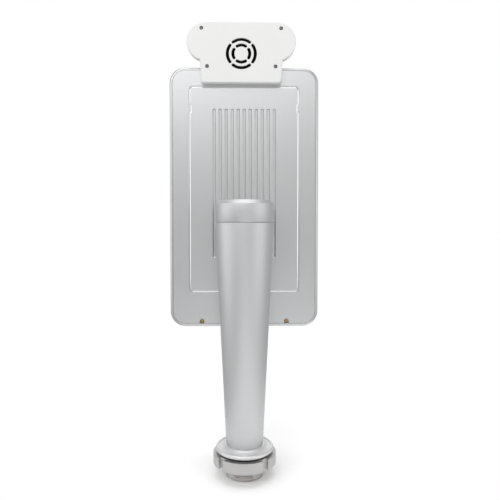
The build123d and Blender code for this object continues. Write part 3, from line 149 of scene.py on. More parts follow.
# name, place, target and size in metres, and the setting that holds its power
LIGHT_PANELS = (
    ("Top_panel", (0.0, 0.1, 1.8), (0.0, 0.1, 0.0), (1.4, 1.2), "top_light"),
    ("High_panel", (0.42, 1.35, 1.15), (0.0, 0.0, 0.3), (1.8, 0.8), "high_light"),
    ("Left_panel", (1.33, 0.28, 0.4), (0.0, 0.0, 0.25), (1.2, 1.0), "side_light"),
    ("Right_panel", (-1.2, 0.65, 0.4), (0.0, 0.0, 0.25), (1.3, 1.0), "side_light"),
    ("Screen_panel", (0.0, -1.5, 0.75), (0.0, 0.0, 0.1), (1.8, 0.9), "front_light"),
)

# ---- Material slots and finishes ----

SLOT_OF_NODE = {part["node"]: part["material_slot"] for part in frame["record"]["subparts"]}
# nodes whose finish isn't the one that their slot names
FINISH_OF_NODE = {
    "column_tube": "column_silver",
    "swivel_collar": "column_silver",
    # the flange's silver is the satin silver made lighter: painted light on its upward-facing
    # dish
    "base_flange": "flange_silver",
    "grille_mesh": "speaker_cloth",
    "clamp_washer": "steel",
    "tilt_bracket": "satin_silver",
    "screen_chassis": "insert_alloy",
    "processor_shield": "insert_alloy",
    "board_standoffs": "screw_brass",
    # the screws all take the screw steel, whose dark colour is partly painted shade of their
    # recesses
    **dict.fromkeys((
        "tilt_bolts", "bracket_screws", "panel_screws", "chassis_screws", "board_screws",
        "head_mount_screws",
    ), "screw_steel"),
}
SWIVEL_PARTS = (
    "swivel_collar", "swivel_bush", "swivel_nut", "wave_washer", "stop_pin", "top_insert",
    "flange_gasket", "clamp_washer", "tilt_bolts", "tilt_nuts", "tilt_washers", "tilt_bracket",
    "bracket_screws", "cable_grommet",
)
CASE_PARTS = ("front_frame", "glass_gasket", "panel_screws", "screen_chassis", "chassis_screws")
ELECTRONICS = (
    "display_module", "main_board", "board_screws", "board_standoffs", "processor_shield",
    "thermal_pad", "camera_board", "camera_lenses", "fill_light_boards", "reader_antenna",
)
HEAD_PARTS = (
    "head_housing", "head_gasket", "head_mount_screws", "head_plug", "head_board", "head_lights",
    "head_window", "sensor_lens", "thermal_sensor", "speaker_frame", "speaker_cone",
    "speaker_magnet",
)
# width of the softened edges of CAD parts, as a share of the edge rounding
EDGE_SHARE = {
    "swivel_collar": 1.0,
    "head_housing": 0.7,
    "front_frame": 0.6,
    "tilt_bracket": 0.6,
    "tilt_bolts": 0.5,
    "cable_grommet": 0.5,
    "clamp_washer": 0.24,
    "head_window": 0.24,
}
INNER_EDGE_SHARE = 0.2
BEVEL_FROM, SPLIT_FROM = math.radians(35.0), math.radians(34.0)

# colour, metallic, roughness, grain in mm and its height in mm
PLAIN_FINISHES = {
    "steel": ((0.55, 0.55, 0.56), 1.0, 0.30, 0.2, 0.003),
    # dark zinc, made darker than the screws' own grey as painted shade of the recesses they sit
    # in
    "screw_steel": ((0.12, 0.12, 0.125), 1.0, 0.25, 0.2, 0.002),
    "screw_brass": ((0.38, 0.27, 0.10), 1.0, 0.28, 0.2, 0.003),
    "insert_alloy": ((0.62, 0.62, 0.63), 1.0, 0.35, 0.4, 0.004),
    "bush_plastic": ((0.80, 0.79, 0.74), 0.0, 0.42, 0.5, 0.004),
    "black_rubber": ((0.022, 0.022, 0.022), 0.0, 0.62, 0.35, 0.012),
    "thermal_silicone": ((0.30, 0.36, 0.46), 0.0, 0.60, 0.8, 0.02),
    "frame_plastic": ((0.58, 0.585, 0.59), 0.6, 0.36, 0.3, 0.005),
    "lens_black": ((0.02, 0.02, 0.035), 0.0, 0.07, 2.0, 0.001),
    "window_black": ((0.012, 0.010, 0.012), 0.0, 0.10, 3.0, 0.001),
    "display_dark": ((0.03, 0.03, 0.035), 0.0, 0.25, 1.0, 0.002),
    "black_plastic": ((0.015, 0.015, 0.016), 0.0, 0.50, 0.3, 0.010),
    "sensor_metal": ((0.70, 0.70, 0.70), 1.0, 0.18, 0.3, 0.002),
    "led_resin": ((0.80, 0.79, 0.68), 0.0, 0.15, 1.0, 0.003),
}
CLOUD_MM, CLOUD_TINT, ROUGHNESS_SWING = 38.0, 0.02, 0.05
# painted highlight: the brighter metal colour given to the marked chamfers and flute lips
PAINTED_EDGE_HIGHLIGHT = (0.92, 0.92, 0.93, 1.0)
COAT_ROUGHNESS = 0.08


# ---- Settings a user would change ----

COLOUR = {"subtype": "COLOR", "min": 0.0, "max": 1.0}
POWER = {"subtype": "POWER", "min": 0.0, "max": 500.0}


class TerminalSizes(bpy.types.PropertyGroup):
    """Small sizes of edges, grooves and threads, in millimetres"""

    edge_round: FloatProperty(
        name="Edge rounding", description="Radius on turned and moulded edges, in mm",
        default=0.5, min=0.1, max=1.0,
    )
    rim_line: FloatProperty(
        name="Rim line depth", description="Depth of the fine line inside the rim, in mm",
        default=0.4, min=0.0, max=0.6,
    )
    groove_slope: FloatProperty(
        name="Groove slope", description="Width of the slope on each side of the groove, in mm",
        default=1.05, min=0.3, max=1.4,
    )
    groove_depth: FloatProperty(
        name="Groove depth", description="Depth of the groove round the panel, in mm",
        default=0.6, min=0.2, max=0.9,
    )
    flute_lip: FloatProperty(
        name="Flute lip", description="Rounding where a flute meets the panel, in mm",
        default=0.10, min=0.05, max=0.3,
    )
    thread_pitch: FloatProperty(
        name="Thread pitch", description="Pitch of the stud's thread, in mm",
        default=1.5, min=1.0, max=3.0,
    )
    thread_depth: FloatProperty(
        name="Thread depth", description="Depth of the stud's thread, in mm",
        default=0.6, min=0.2, max=1.0,
    )


class TerminalFinishes(bpy.types.PropertyGroup):
    """Colours and surface of the painted, moulded and metal pieces"""

    satin_silver: FloatVectorProperty(
        name="Satin silver", description="Bead-blasted housing and column",
        default=(0.60, 0.605, 0.61), **COLOUR,
    )
    head_white: FloatVectorProperty(
        name="Head white", description="Moulded sensor head",
        default=(0.715, 0.715, 0.71), **COLOUR,
    )
    # satin silver made lighter as painted light, for the flange's upward-facing dish
    flange_silver: FloatVectorProperty(
        name="Flange silver", description="Foot flange",
        default=(0.72, 0.72, 0.725), **COLOUR,
    )
    nut_silver: FloatVectorProperty(
        name="Nut silver", description="Ring nut under the flange",
        default=(0.52, 0.515, 0.51), **COLOUR,
    )
    stud_metal: FloatVectorProperty(
        name="Stud metal", description="Threaded stud",
        default=(0.46, 0.44, 0.43), **COLOUR,
    )
    screen_black: FloatVectorProperty(
        name="Screen black", description="Backed border of the front glass",
        default=(0.012, 0.012, 0.014), **COLOUR,
    )
    grain: FloatProperty(
        name="Blasted grain", description="Size of the blasted grain, in mm",
        default=0.35, min=0.1, max=2.0,
    )
    grain_height: FloatProperty(
        name="Grain height", description="Height of the blasted grain, in mm",
        default=0.006, min=0.0, max=0.05,
    )


class TerminalStudio(bpy.types.PropertyGroup):
    """Camera and lights"""

    lens: FloatProperty(
        name="Lens", description="Focal length in mm on a 36 mm sensor",
        default=37.62, min=15.0, max=200.0, unit="CAMERA",
    )
    top_light: FloatProperty(
        name="Top light", description="Overhead panel, in watts",
        default=9.0, **POWER,
    )
    high_light: FloatProperty(
        name="High light", description="High panel on the column's side, in watts",
        default=10.3, **POWER,
    )
    side_light: FloatProperty(
        name="Side light", description="Each side panel, in watts",
        default=3.6, **POWER,
    )
    front_light: FloatProperty(
        name="Screen-side light", description="Panel on the screen's side, in watts",
        default=5.0, **POWER,
    )
    room_light: FloatProperty(
        name="Room light", description="Strength of the even light that falls on matt surfaces",
        default=0.68, min=0.0, max=2.0,
    )
    room_gloss: FloatProperty(
        name="Room reflection", description="Strength of the room in reflections",
        default=0.53, min=0.0, max=2.0,
    )


# ---- Outlines and profiles ----


def filleted(corners, radii, steps=8):
    """A closed line with round corners.

    At each corner the arc's centre lies on the bisector, the radius over the sine of half the
    corner's angle away. The arc's points turn evenly between the two tangent points, by the
    weights sin((1 - s) w) / sin w and sin(s w) / sin w on the two radii, w being the arc.
    A corner with no radius keeps its one point.
    """
    corners = np.asarray(corners, float)
    radii = np.broadcast_to(np.asarray(radii, float), len(corners))
    back = np.roll(corners, 1, 0) - corners
    ahead = np.roll(corners, -1, 0) - corners
    back /= np.linalg.norm(back, axis=1, keepdims=True)
    ahead /= np.linalg.norm(ahead, axis=1, keepdims=True)
    half = np.arccos(np.clip((back * ahead).sum(1), -1.0, 1.0)) / 2
    reach = radii / np.tan(half)
    middle = back + ahead
    middle /= np.maximum(np.linalg.norm(middle, axis=1, keepdims=True), 1e-12)
    centre = corners + middle * (radii / np.sin(half))[:, None]
    start = corners + back * reach[:, None] - centre
    end = corners + ahead * reach[:, None] - centre
    turn = np.maximum(math.pi - 2 * half, 1e-9)[:, None, None]
    share = np.linspace(0.0, 1.0, steps + 1)[None, :, None]
    arc = start[:, None] * np.sin((1 - share) * turn) + end[:, None] * np.sin(share * turn)
    line = (centre[:, None] + arc / np.sin(turn)).reshape(-1, 2)
    apart = np.linalg.norm(line - np.roll(line, 1, 0), axis=1) > 1e-6
    return line[apart]


def arc(centre, radius, first, last, steps):
    """Points at even angles from first to last on a circle."""
    angle = np.linspace(first, last, steps)
    return np.asarray(centre) + radius * np.stack([np.cos(angle), np.sin(angle)], -1)


def circle(centre, radius, steps):
    """A closed circle, anticlockwise, with its last point left out."""
    return arc(centre, radius, 0.0, FULL_TURN, steps + 1)[:-1]


def rounded_box(mid, width, height, radius, steps=10):
    """A rectangle with four quarter-circle corners, anticlockwise."""
    signs = np.array([(1, -1), (1, 1), (-1, 1), (-1, -1)], float)
    return filleted(np.asarray(mid) + signs * (width / 2, height / 2), radius, steps)


def terminal_outline(inset=0.0):
    """The terminal's rounded outline, moved inwards."""
    mid = (0.0, TERMINAL_LOW_Z + TERMINAL_H / 2)
    size = (TERMINAL_W - 2 * inset, TERMINAL_H - 2 * inset)
    return rounded_box(mid, *size, TERMINAL_CORNER_R - inset, steps=14)


def panel_outline(grow=0.0):
    """The panel's outline with a shallow notch in each side, grown outwards.

    The right side's corners are listed from the bottom up, and the left side's are their
    mirror image in the opposite order, so that the line stays anticlockwise.
    """
    x, inner = PANEL_W / 2 + grow, PANEL_W / 2 + grow - TAB_IN
    low, top = PANEL_MID_Z - PANEL_H / 2 - grow, PANEL_MID_Z + PANEL_H / 2 + grow
    notch_low, notch_top = TAB_LOW_Z + grow, TAB_HIGH_Z - grow
    right = np.array([
        (x, low), (x, notch_low), (inner, notch_low), (inner, notch_top), (x, notch_top), (x, top)
    ])
    left = right[::-1] * (-1.0, 1.0)
    inside = max(TAB_CORNER_R - abs(grow) / 4, 0.3)
    side = [PANEL_CORNER_R + grow, 0.15, inside, inside, 0.15, PANEL_CORNER_R + grow]
    return filleted(np.concatenate([right, left]), side + side[::-1], steps=6)


def head_outline():
    """Two round lobes over a tapering stem: each lobe's arc runs on past its side by the kink
    angle, and a straight line leads from there to the stem's rounded foot."""
    lobe_x, lobe_z = HEAD_W / 2 - HEAD_LOBE_R, HEAD_TOP_Z - HEAD_LOBE_R
    foot = HEAD_STEM_FOOT_W / 2
    right = arc((lobe_x, lobe_z), HEAD_LOBE_R, -HEAD_KINK, math.pi / 2, 40)
    corner = filleted(
        [(-foot, HEAD_LOW_Z), (foot, HEAD_LOW_Z), right[0]], [0.0, HEAD_STEM_ROUND, 0.0], 8
    )[1:-1]
    half = np.concatenate([corner, right])
    return np.concatenate([half, half[::-1] * (-1.0, 1.0)]) + (HEAD_X, 0.0)


def spun(line, copies, first=0.0):
    """Copies of a line one after another, each turned on by an even share of a full turn:
    (x cos t - y sin t, x sin t + y cos t)."""
    turn = first + FULL_TURN / copies * np.arange(copies)
    spin = np.stack([np.cos(turn), -np.sin(turn), np.sin(turn), np.cos(turn)], -1)
    return np.einsum("kij,nj->kni", spin.reshape(-1, 2, 2), line).reshape(-1, 2)


def slot_outline(centre, orbit, width, middle, sweep, steps=16):
    """A round-ended slot bent along an arc: out along the larger arc, round the end's half
    circle, back along the smaller arc and round the other end."""
    first, last = middle - sweep / 2, middle + sweep / 2
    at_last = np.asarray(centre) + orbit * np.array([math.cos(last), math.sin(last)])
    at_first = np.asarray(centre) + orbit * np.array([math.cos(first), math.sin(first)])
    return np.concatenate([
        arc(centre, orbit + width / 2, first, last, steps),
        arc(at_last, width / 2, last, last + math.pi, 9)[1:-1],
        arc(centre, orbit - width / 2, last, first, steps),
        arc(at_first, width / 2, first + math.pi, first + FULL_TURN, 9)[1:-1],
    ])


def grown(line, distance):
    """A closed line moved outwards: each point goes along the sum of its two edges' normals,
    divided by one plus their dot product, so that both edges move by the distance."""
    ahead = np.roll(line, -1, 0) - line
    normal = np.stack([ahead[:, 1], -ahead[:, 0]], -1)
    normal /= np.linalg.norm(normal, axis=1, keepdims=True)
    before = np.roll(normal, 1, 0)
    mitre = (normal + before) / (1 + (normal * before).sum(1, keepdims=True))
    return line + distance * mitre


def facing_back(line, depth):
    """A line of (x, z) points at a depth in front of the column's axis, in space."""
    return np.stack([line[:, 0], np.full(len(line), -depth), line[:, 1]], -1)


def carried(line, profile):
    """A profile of (grow, depth) points carried round a closed line: one ring of the grown
    line for each point of the profile."""
    return np.stack([facing_back(grown(line, grow), depth) for grow, depth in profile])


def turned(profile, segments):
    """A profile of (radius, height) points swept once round the column's axis:
    x = r cos t, y = r sin t, z = h, with t running evenly round."""
    angle = np.linspace(0.0, FULL_TURN, segments, endpoint=False)
    radius, height = profile[:, :1], profile[:, 1:]
    flat = np.ones(segments)
    return np.stack([radius * np.cos(angle), radius * np.sin(angle), height * flat], -1)


# ---- Meshes ----


def new_object(name, data):
    """A new object in the scene, at the origin."""
    made = bpy.data.objects.new(name, data)
    bpy.context.scene.collection.objects.link(made)
    return made


class Skin:
    """A mesh put together from strips of quads and flat fills, in millimetres."""

    def __init__(self):
        self.points, self.faces, self.smooth, self.cut, self.count = [], [], [], [], 0

    def strip(self, grid, closed=False, cut=()):
        """Adds M rings of N points. Quads join each ring to the next, and the last to the
        first where closed. The quads that start at the rings named in cut are marked for a
        painted edge highlight and a polish. Returns the (M, N) array of the points' numbers."""
        rings, around = grid.shape[:2]
        number = np.arange(rings * around).reshape(rings, around) + self.count
        near = number if closed else number[:-1]
        far = np.roll(number, -1, 0) if closed else number[1:]
        quads = np.stack([near, np.roll(near, -1, 1), np.roll(far, -1, 1), far], -1)
        self.points.append(grid.reshape(-1, 3))
        self.faces += quads.reshape(-1, 4).tolist()
        self.smooth += [True] * quads.shape[0] * quads.shape[1]
        marked = np.isin(np.arange(quads.shape[0]), cut).astype(float)
        self.cut += np.repeat(marked, quads.shape[1]).tolist()
        self.count += rings * around
        return number

    def fill(self, *loops):
        """Closes the flat area inside the first loop of point numbers and outside the others."""
        points = np.concatenate(self.points)
        found = tessellate_polygon([[Vector(p) for p in points[loop]] for loop in loops])
        order = np.concatenate(loops)
        self.faces += order[np.array(found)].tolist()
        self.smooth += [False] * len(found)
        self.cut += [0.0] * len(found)

    def block(self, grid):
        """Adds a strip whose first and last rings are closed."""
        number = self.strip(grid)
        self.fill(number[0])
        self.fill(number[-1])

    def recess(self, line, back, depth, flare):
        """Adds a blind hole with a flared mouth, and returns the mouth's point numbers."""
        number = self.strip(
            carried(line, [(flare, back), (0.0, back + flare), (0.0, back + depth)])
        )
        self.fill(number[-1])
        return number[0]

    def piece(self, name, sharp=40.0):
        """Makes the object, at the origin, with its faces pointing outwards."""
        mesh = bpy.data.meshes.new(name)
        mesh.from_pydata(np.concatenate(self.points) * MM, [], self.faces)
        shell = bmesh.new()
        shell.from_mesh(mesh)
        bmesh.ops.recalc_face_normals(shell, faces=shell.faces)
        shell.to_mesh(mesh)
        shell.free()
        mesh.set_sharp_from_angle(angle=math.radians(sharp))
        mesh.polygons.foreach_set("use_smooth", self.smooth)
        # marks the faces that get the painted edge highlight and the polish
        mesh.attributes.new(EDGE_HIGHLIGHT_AND_POLISH, "FLOAT", "FACE").data.foreach_set("value", self.cut)
        mesh.update()
        return new_object(name, mesh)


def put_finish(thing, node):
    """Puts a CAD node's finish in an object's first material slot."""
    if thing.data.materials:
        thing.data.materials[0] = finish_for(node)
    else:
        thing.data.materials.append(finish_for(node))


def fit(made, body, node):
    """Hangs a finished piece on its body in the place of a CAD node, with that finish."""
    put_finish(made, node)
    put_finish(frame["nodes"][node], node)
    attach(made, body)
    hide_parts(node)


def keep_shapes(context, names):
    """Finishes CAD parts that keep their shape: their faces are welded, their edges bevelled
    and their shading split at the sharp ones, all by modifiers."""
    for name in names:
        node = frame["nodes"][name]
        put_finish(node, name)
        node.data.polygons.foreach_set("use_smooth", [True] * len(node.data.polygons))
        weld = node.modifiers.new("Joined", "WELD")
        weld.merge_threshold = MERGE_MM * MM
        bevel = node.modifiers.new("Soft_edges", "BEVEL")
        share = EDGE_SHARE.get(name, INNER_EDGE_SHARE)
        bevel.width = share * context.scene.terminal_sizes.edge_round * MM
        bevel.segments = 2
        bevel.limit_method = "ANGLE"
        bevel.angle_limit = BEVEL_FROM
        split = node.modifiers.new("Crisp_faces", "EDGE_SPLIT")
        split.split_angle = SPLIT_FROM
    return {"FINISHED"}


# ---- Finishes ----


def feed(tree, socket, value):
    """Links an input to another node's output, or sets it to a constant."""
    if isinstance(value, bpy.types.NodeSocket):
        tree.links.new(value, socket)
    else:
        socket.default_value = value


def add_node(tree, kind, settings=None, **inputs):
    """A shader node with its settings, and its inputs set or linked by socket name."""
    made = tree.nodes.new(kind)
    for key, value in (settings or {}).items():
        setattr(made, key, value)
    for key, value in inputs.items():
        feed(tree, made.inputs[key.replace("_", " ")], value)
    return made


def maths(tree, operation, *values):
    """One Math node."""
    made = add_node(tree, "ShaderNodeMath", {"operation": operation})
    for socket, value in zip(made.inputs, values):
        feed(tree, socket, value)
    return made.outputs[0]


def new_finish(name, metallic, coat=0.0, specular=0.5):
    """A material with one Principled shader, its even numbers set on the shader itself."""
    made = bpy.data.materials.new(name)
    made.use_nodes = True
    tree = made.node_tree
    tree.nodes.clear()
    out = tree.nodes.new("ShaderNodeOutputMaterial")
    shader = tree.nodes.new("ShaderNodeBsdfPrincipled")
    shader.inputs["Metallic"].default_value = metallic
    shader.inputs["Coat Weight"].default_value = coat
    shader.inputs["Coat Roughness"].default_value = COAT_ROUGHNESS
    shader.inputs["Specular IOR Level"].default_value = specular
    tree.links.new(shader.outputs[0], out.inputs[0])
    return made, tree, shader


def object_pattern(tree):
    """The piece's own coordinates in metres."""
    return tree.nodes.new("ShaderNodeTexCoord").outputs["Object"]


def noise(tree, place, size_mm, detail=2.0, roughness=0.5):
    """Cloudy noise whose features are about size_mm across."""
    return add_node(
        tree, "ShaderNodeTexNoise", Vector=place, Scale=1.0 / (size_mm * MM),
        Detail=detail, Roughness=roughness,
    ).outputs["Fac"]


def spread(tree, value, low, high):
    """A number from 0 to 1 stretched between low and high."""
    return add_node(tree, "ShaderNodeMapRange", Value=value, To_Min=low, To_Max=high).outputs[0]


def mixed(tree, share, first, second):
    """A colour part way from first to second."""
    made = add_node(tree, "ShaderNodeMix", {"data_type": "RGBA"})
    for number, value in ((0, share), (6, first), (7, second)):
        feed(tree, made.inputs[number], value)
    return made.outputs[2]


def shaded(colour, change):
    """A colour made lighter or darker by a share, as RGBA."""
    return [min(max(c * (1 + change), 0.0), 1.0) for c in colour[:3]] + [1.0]


def dressed(finish, tint, roughness, height, height_mm, seen):
    """Links a finish's colour and roughness, bumps it by a height of 0 to 1 that stands for
    height_mm, and gives it the plain colour that the viewport shows."""
    made, tree, shader = finish
    bump = add_node(tree, "ShaderNodeBump", Strength=1.0, Distance=height_mm * MM, Height=height)
    tree.links.new(tint, shader.inputs["Base Color"])
    tree.links.new(roughness, shader.inputs["Roughness"])
    tree.links.new(bump.outputs[0], shader.inputs["Normal"])
    made.diffuse_color = seen
    return made


def grained(name, colour, metallic, roughness, grain, height, edge_polish=0.0):
    """An even finish with fine grain: small noise raises the surface, and broad noise moves
    the colour and the roughness a little. Marked faces are painted brighter, as a painted
    highlight, and their roughness is edge_polish times the rest's."""
    finish = new_finish(name, metallic)
    tree = finish[1]
    place = object_pattern(tree)
    fine = noise(tree, place, grain, detail=3.0)
    broad = noise(tree, place, CLOUD_MM)
    tint = mixed(tree, broad, shaded(colour, -CLOUD_TINT), shaded(colour, CLOUD_TINT))
    speckle = spread(tree, fine, roughness - ROUGHNESS_SWING, roughness + ROUGHNESS_SWING)
    # painted highlight: marked faces are mixed towards a brighter metal colour, and their
    # roughness drops as a polish
    if edge_polish:
        cut = add_node(tree, "ShaderNodeAttribute", {"attribute_name": EDGE_HIGHLIGHT_AND_POLISH}).outputs["Fac"]
        tint = mixed(tree, cut, tint, PAINTED_EDGE_HIGHLIGHT)
        speckle = maths(tree, "MULTIPLY", speckle, spread(tree, cut, 1.0, edge_polish))
    return dressed(finish, tint, speckle, fine, height, shaded(colour, 0.0))


def radial_distance(tree, x, z, mid_x, mid_z):
    """Distance in metres from a middle given in mm: the root of the sum of the squares."""
    sides = maths(tree, "SUBTRACT", x, mid_x * MM), maths(tree, "SUBTRACT", z, mid_z * MM)
    squares = [maths(tree, "MULTIPLY", side, side) for side in sides]
    return maths(tree, "SQRT", maths(tree, "ADD", *squares))


def ramp_down(tree, value, edge_mm, soft_mm):
    """1 below an edge and 0 above it, with a soft step, for a distance in metres."""
    made = add_node(
        tree, "ShaderNodeMapRange", {"interpolation_type": "SMOOTHSTEP"}, Value=value,
        From_Min=(edge_mm - soft_mm) * MM, From_Max=(edge_mm + soft_mm) * MM,
        To_Min=1.0, To_Max=0.0,
    )
    return made.outputs[0]


def screen_finish(name, black):
    """Front glass: black backed border, a slightly lighter screen area, two camera windows,
    each with a lighter ring as a painted highlight, and two fill-light windows, all read
    from the piece's own coordinates."""
    finish = new_finish(name, 0.0, coat=1.0)
    tree = finish[1]
    place = object_pattern(tree)
    axes = add_node(tree, "ShaderNodeSeparateXYZ", Vector=place)
    x = maths(tree, "ABSOLUTE", axes.outputs[0])
    z = maths(tree, "ABSOLUTE", maths(tree, "SUBTRACT", axes.outputs[2], DISPLAY_MID_Z * MM))
    in_x = ramp_down(tree, x, DISPLAY_W / 2, 0.15)
    in_z = ramp_down(tree, z, DISPLAY_H / 2, 0.15)
    screen = maths(tree, "MULTIPLY", in_x, in_z)
    smudge = noise(tree, place, 30.0, detail=4.0, roughness=0.6)
    tint = mixed(tree, screen, shaded(black, 0.0), (0.020, 0.022, 0.026, 1.0))
    to_camera = radial_distance(tree, x, axes.outputs[2], CAMERA_X, CAMERA_Z)
    # painted highlight: a lighter ring round each camera window
    ring_highlight = maths(tree, "SUBTRACT", ramp_down(tree, to_camera, CAMERA_HIGHLIGHT_RING_R, 0.1),
                   ramp_down(tree, to_camera, CAMERA_GLASS_R, 0.1))
    iris = ramp_down(tree, to_camera, CAMERA_IRIS_R, 0.6)
    tint = mixed(tree, ring_highlight, tint, (0.05, 0.05, 0.055, 1.0))
    tint = mixed(tree, iris, tint, (0.012, 0.010, 0.035, 1.0))
    to_lamp = radial_distance(tree, x, axes.outputs[2], LAMP_X, CAMERA_Z)
    lamp = ramp_down(tree, to_lamp, LAMP_R, 0.2)
    tint = mixed(tree, lamp, tint, (0.16, 0.15, 0.12, 1.0))
    gloss = spread(tree, smudge, 0.05, 0.11)
    return dressed(finish, tint, gloss, smudge, 0.0004, shaded(black, 0.0))


def board_finish(name):
    """Circuit board: green mask over a fine grid of tracks, with pads of tin."""
    finish = new_finish(name, 0.0, coat=0.4)
    tree = finish[1]
    place = object_pattern(tree)
    cells = add_node(
        tree, "ShaderNodeTexVoronoi", {"distance": "MANHATTAN"}, Vector=place, Scale=260.0,
        Randomness=0.7,
    )
    track = ramp_down(tree, maths(tree, "MULTIPLY", cells.outputs["Distance"], MM), 0.18, 0.05)
    tint = mixed(tree, track, (0.018, 0.13, 0.055, 1.0), (0.035, 0.21, 0.085, 1.0))
    pads = add_node(tree, "ShaderNodeTexVoronoi", Vector=place, Scale=420.0)
    pad = ramp_down(tree, maths(tree, "MULTIPLY", pads.outputs["Distance"], MM), 0.12, 0.03)
    tint = mixed(tree, maths(tree, "MULTIPLY", pad, 0.8), tint, (0.55, 0.54, 0.50, 1.0))
    gloss = spread(tree, pad, 0.42, 0.25)
    return dressed(finish, tint, gloss, track, 0.03, (0.02, 0.15, 0.06, 1.0))


def cloth_finish(name):
    """Black speaker cloth: two crossed waves make threads with small holes between them."""
    finish = new_finish(name, 0.0, specular=0.08)
    tree = finish[1]
    place = object_pattern(tree)
    threads = [
        add_node(
            tree, "ShaderNodeTexWave", {"wave_type": "BANDS", "bands_direction": axis},
            Vector=place, Scale=550.0, Distortion=0.3,
        ).outputs["Fac"]
        for axis in ("X", "Z")
    ]
    weave = maths(tree, "MULTIPLY", *threads)
    tint = mixed(tree, weave, (0.0004, 0.0004, 0.0004, 1.0), (0.002, 0.002, 0.002, 1.0))
    gloss = spread(tree, weave, 0.75, 0.6)
    return dressed(finish, tint, gloss, weave, 0.08, (0.004, 0.004, 0.004, 1.0))


def finish_for(node):
    """The finish of a CAD node and of the piece that stands for it, made once."""
    kind = FINISH_OF_NODE.get(node, SLOT_OF_NODE[node])
    name = kind.capitalize()
    made = bpy.data.materials.get(name)
    if made:
        return made
    if kind == "board_green":
        return board_finish(name)
    if kind == "speaker_cloth":
        return cloth_finish(name)
    look = bpy.context.scene.terminal_finishes
    if kind == "front_black":
        return screen_finish(name, look.screen_black)
    blasted = (look.grain, look.grain_height)
    chosen = {
        # satin silver's marked chamfers and flute lips get the painted highlight and the polish
        "satin_silver": (look.satin_silver, 1.0, 0.40, *blasted, 0.5),
        "column_silver": (look.satin_silver, 1.0, 0.50, *blasted),
        # lighter than the satin silver: painted light on the flange's upward-facing dish
        "flange_silver": (look.flange_silver, 1.0, 0.50, *blasted),
        "nut_silver": (look.nut_silver, 1.0, 0.50, *blasted),
        "stud_metal": (look.stud_metal, 1.0, 0.36, 0.25, 0.004),
        "white_plastic": (look.head_white, 0.0, 0.38, 0.28, 0.008),
    }
    return grained(name, *{**PLAIN_FINISHES, **chosen}[kind])


# ---- Pieces ----


class MakeStage(bpy.types.Operator):
    """Floor, camera, lights and the even light of the room"""

    bl_idname = "fare_terminal.stage"
    bl_label = "Stage"

    def execute(self, context):
        studio = context.scene.terminal_studio
        low = CAD_BOX[0].z / MM - FLOOR_GAP
        skin = Skin()
        rings = skin.strip(np.stack([
            np.pad(circle((0.0, 0.0), share, 96) * FLOOR_HALF + FLOOR_MID, ((0, 0), (0, 1)),
                   constant_values=low)
            for share in (0.3, 0.6, 1.0)
        ]))
        skin.fill(rings[0])
        floor = skin.piece("studio_floor")
        made, tree, shader = new_finish("Studio_floor", 0.0, specular=0.1)
        cloud = noise(tree, object_pattern(tree), 400.0)
        tint = mixed(tree, cloud, (0.94, 0.94, 0.94, 1), (0.96, 0.96, 0.96, 1))
        tree.links.new(tint, shader.inputs["Base Color"])
        shader.inputs["Roughness"].default_value = 0.9
        floor.data.materials.append(made)

        camera = bpy.data.cameras.new("Camera")
        camera.lens = studio.lens
        camera.sensor_width = SENSOR_W
        camera.shift_y = LENS_SHIFT
        camera.dof.use_dof = False
        camera.clip_start, camera.clip_end = 0.01, 50.0
        eye = new_object("Camera", camera)
        ahead = Vector((
            math.sin(EYE_YAW) * math.cos(EYE_DIP), -math.cos(EYE_YAW) * math.cos(EYE_DIP),
            -math.sin(EYE_DIP),
        ))
        eye.location = Vector(EYE_MM) * MM
        eye.rotation_euler = ahead.to_track_quat("-Z", "Y").to_euler()
        context.scene.camera = eye

        for name, place, target, size, setting in LIGHT_PANELS:
            lamp = bpy.data.lights.new(name, "AREA")
            lamp.shape = "RECTANGLE"
            lamp.size, lamp.size_y = size
            lamp.energy = getattr(studio, setting)
            panel = new_object(name, lamp)
            panel.location = place
            aim = Vector(target) - Vector(place)
            panel.rotation_euler = aim.to_track_quat("-Z", "Y").to_euler()

        world = bpy.data.worlds.new("Studio_room")
        context.scene.world = world
        world.use_nodes = True
        tree = world.node_tree
        tree.nodes.clear()
        path = tree.nodes.new("ShaderNodeLightPath")
        level = maths(tree, "MULTIPLY_ADD", path.outputs["Is Glossy Ray"],
                      studio.room_gloss - studio.room_light, studio.room_light)
        level = maths(tree, "MAXIMUM", level, path.outputs["Is Camera Ray"])
        room = add_node(tree, "ShaderNodeBackground", Color=(1, 1, 1, 1), Strength=level)
        out = tree.nodes.new("ShaderNodeOutputWorld")
        tree.links.new(room.outputs[0], out.inputs[0])
        context.scene.view_settings.view_transform = "Standard"
        return {"FINISHED"}


class MakeColumn(bpy.types.Operator):
    """Tapered column tube with rounded rims"""

    bl_idname = "fare_terminal.column"
    bl_label = "Column"

    def execute(self, context):
        rounding = context.scene.terminal_sizes.edge_round
        slope = (COLUMN_TOP_R - COLUMN_FOOT_R) / (COLUMN_TOP_Z - COLUMN_FOOT_Z)
        upper = COLUMN_FOOT_R + slope * (TOP_SOCKET_Z - COLUMN_FOOT_Z) - COLUMN_WALL
        lower = COLUMN_FOOT_R + slope * (FOOT_SOCKET_Z - COLUMN_FOOT_Z) - COLUMN_WALL
        corners = [
            (COLUMN_FOOT_R, COLUMN_FOOT_Z), (COLUMN_TOP_R, COLUMN_TOP_Z),
            (TOP_SOCKET_R, COLUMN_TOP_Z), (TOP_SOCKET_R, TOP_SOCKET_Z), (upper, TOP_SOCKET_Z),
            (lower, FOOT_SOCKET_Z), (FOOT_SOCKET_R, FOOT_SOCKET_Z),
            (FOOT_SOCKET_R, COLUMN_FOOT_Z),
        ]
        radii = [0.3, rounding, 0.2, 0.2, 0.2, 0.2, 0.1, 0.2]
        skin = Skin()
        skin.strip(turned(filleted(corners, radii, steps=5), 160), closed=True)
        fit(skin.piece("tapered_column"), "column", "column_tube")
        return {"FINISHED"}


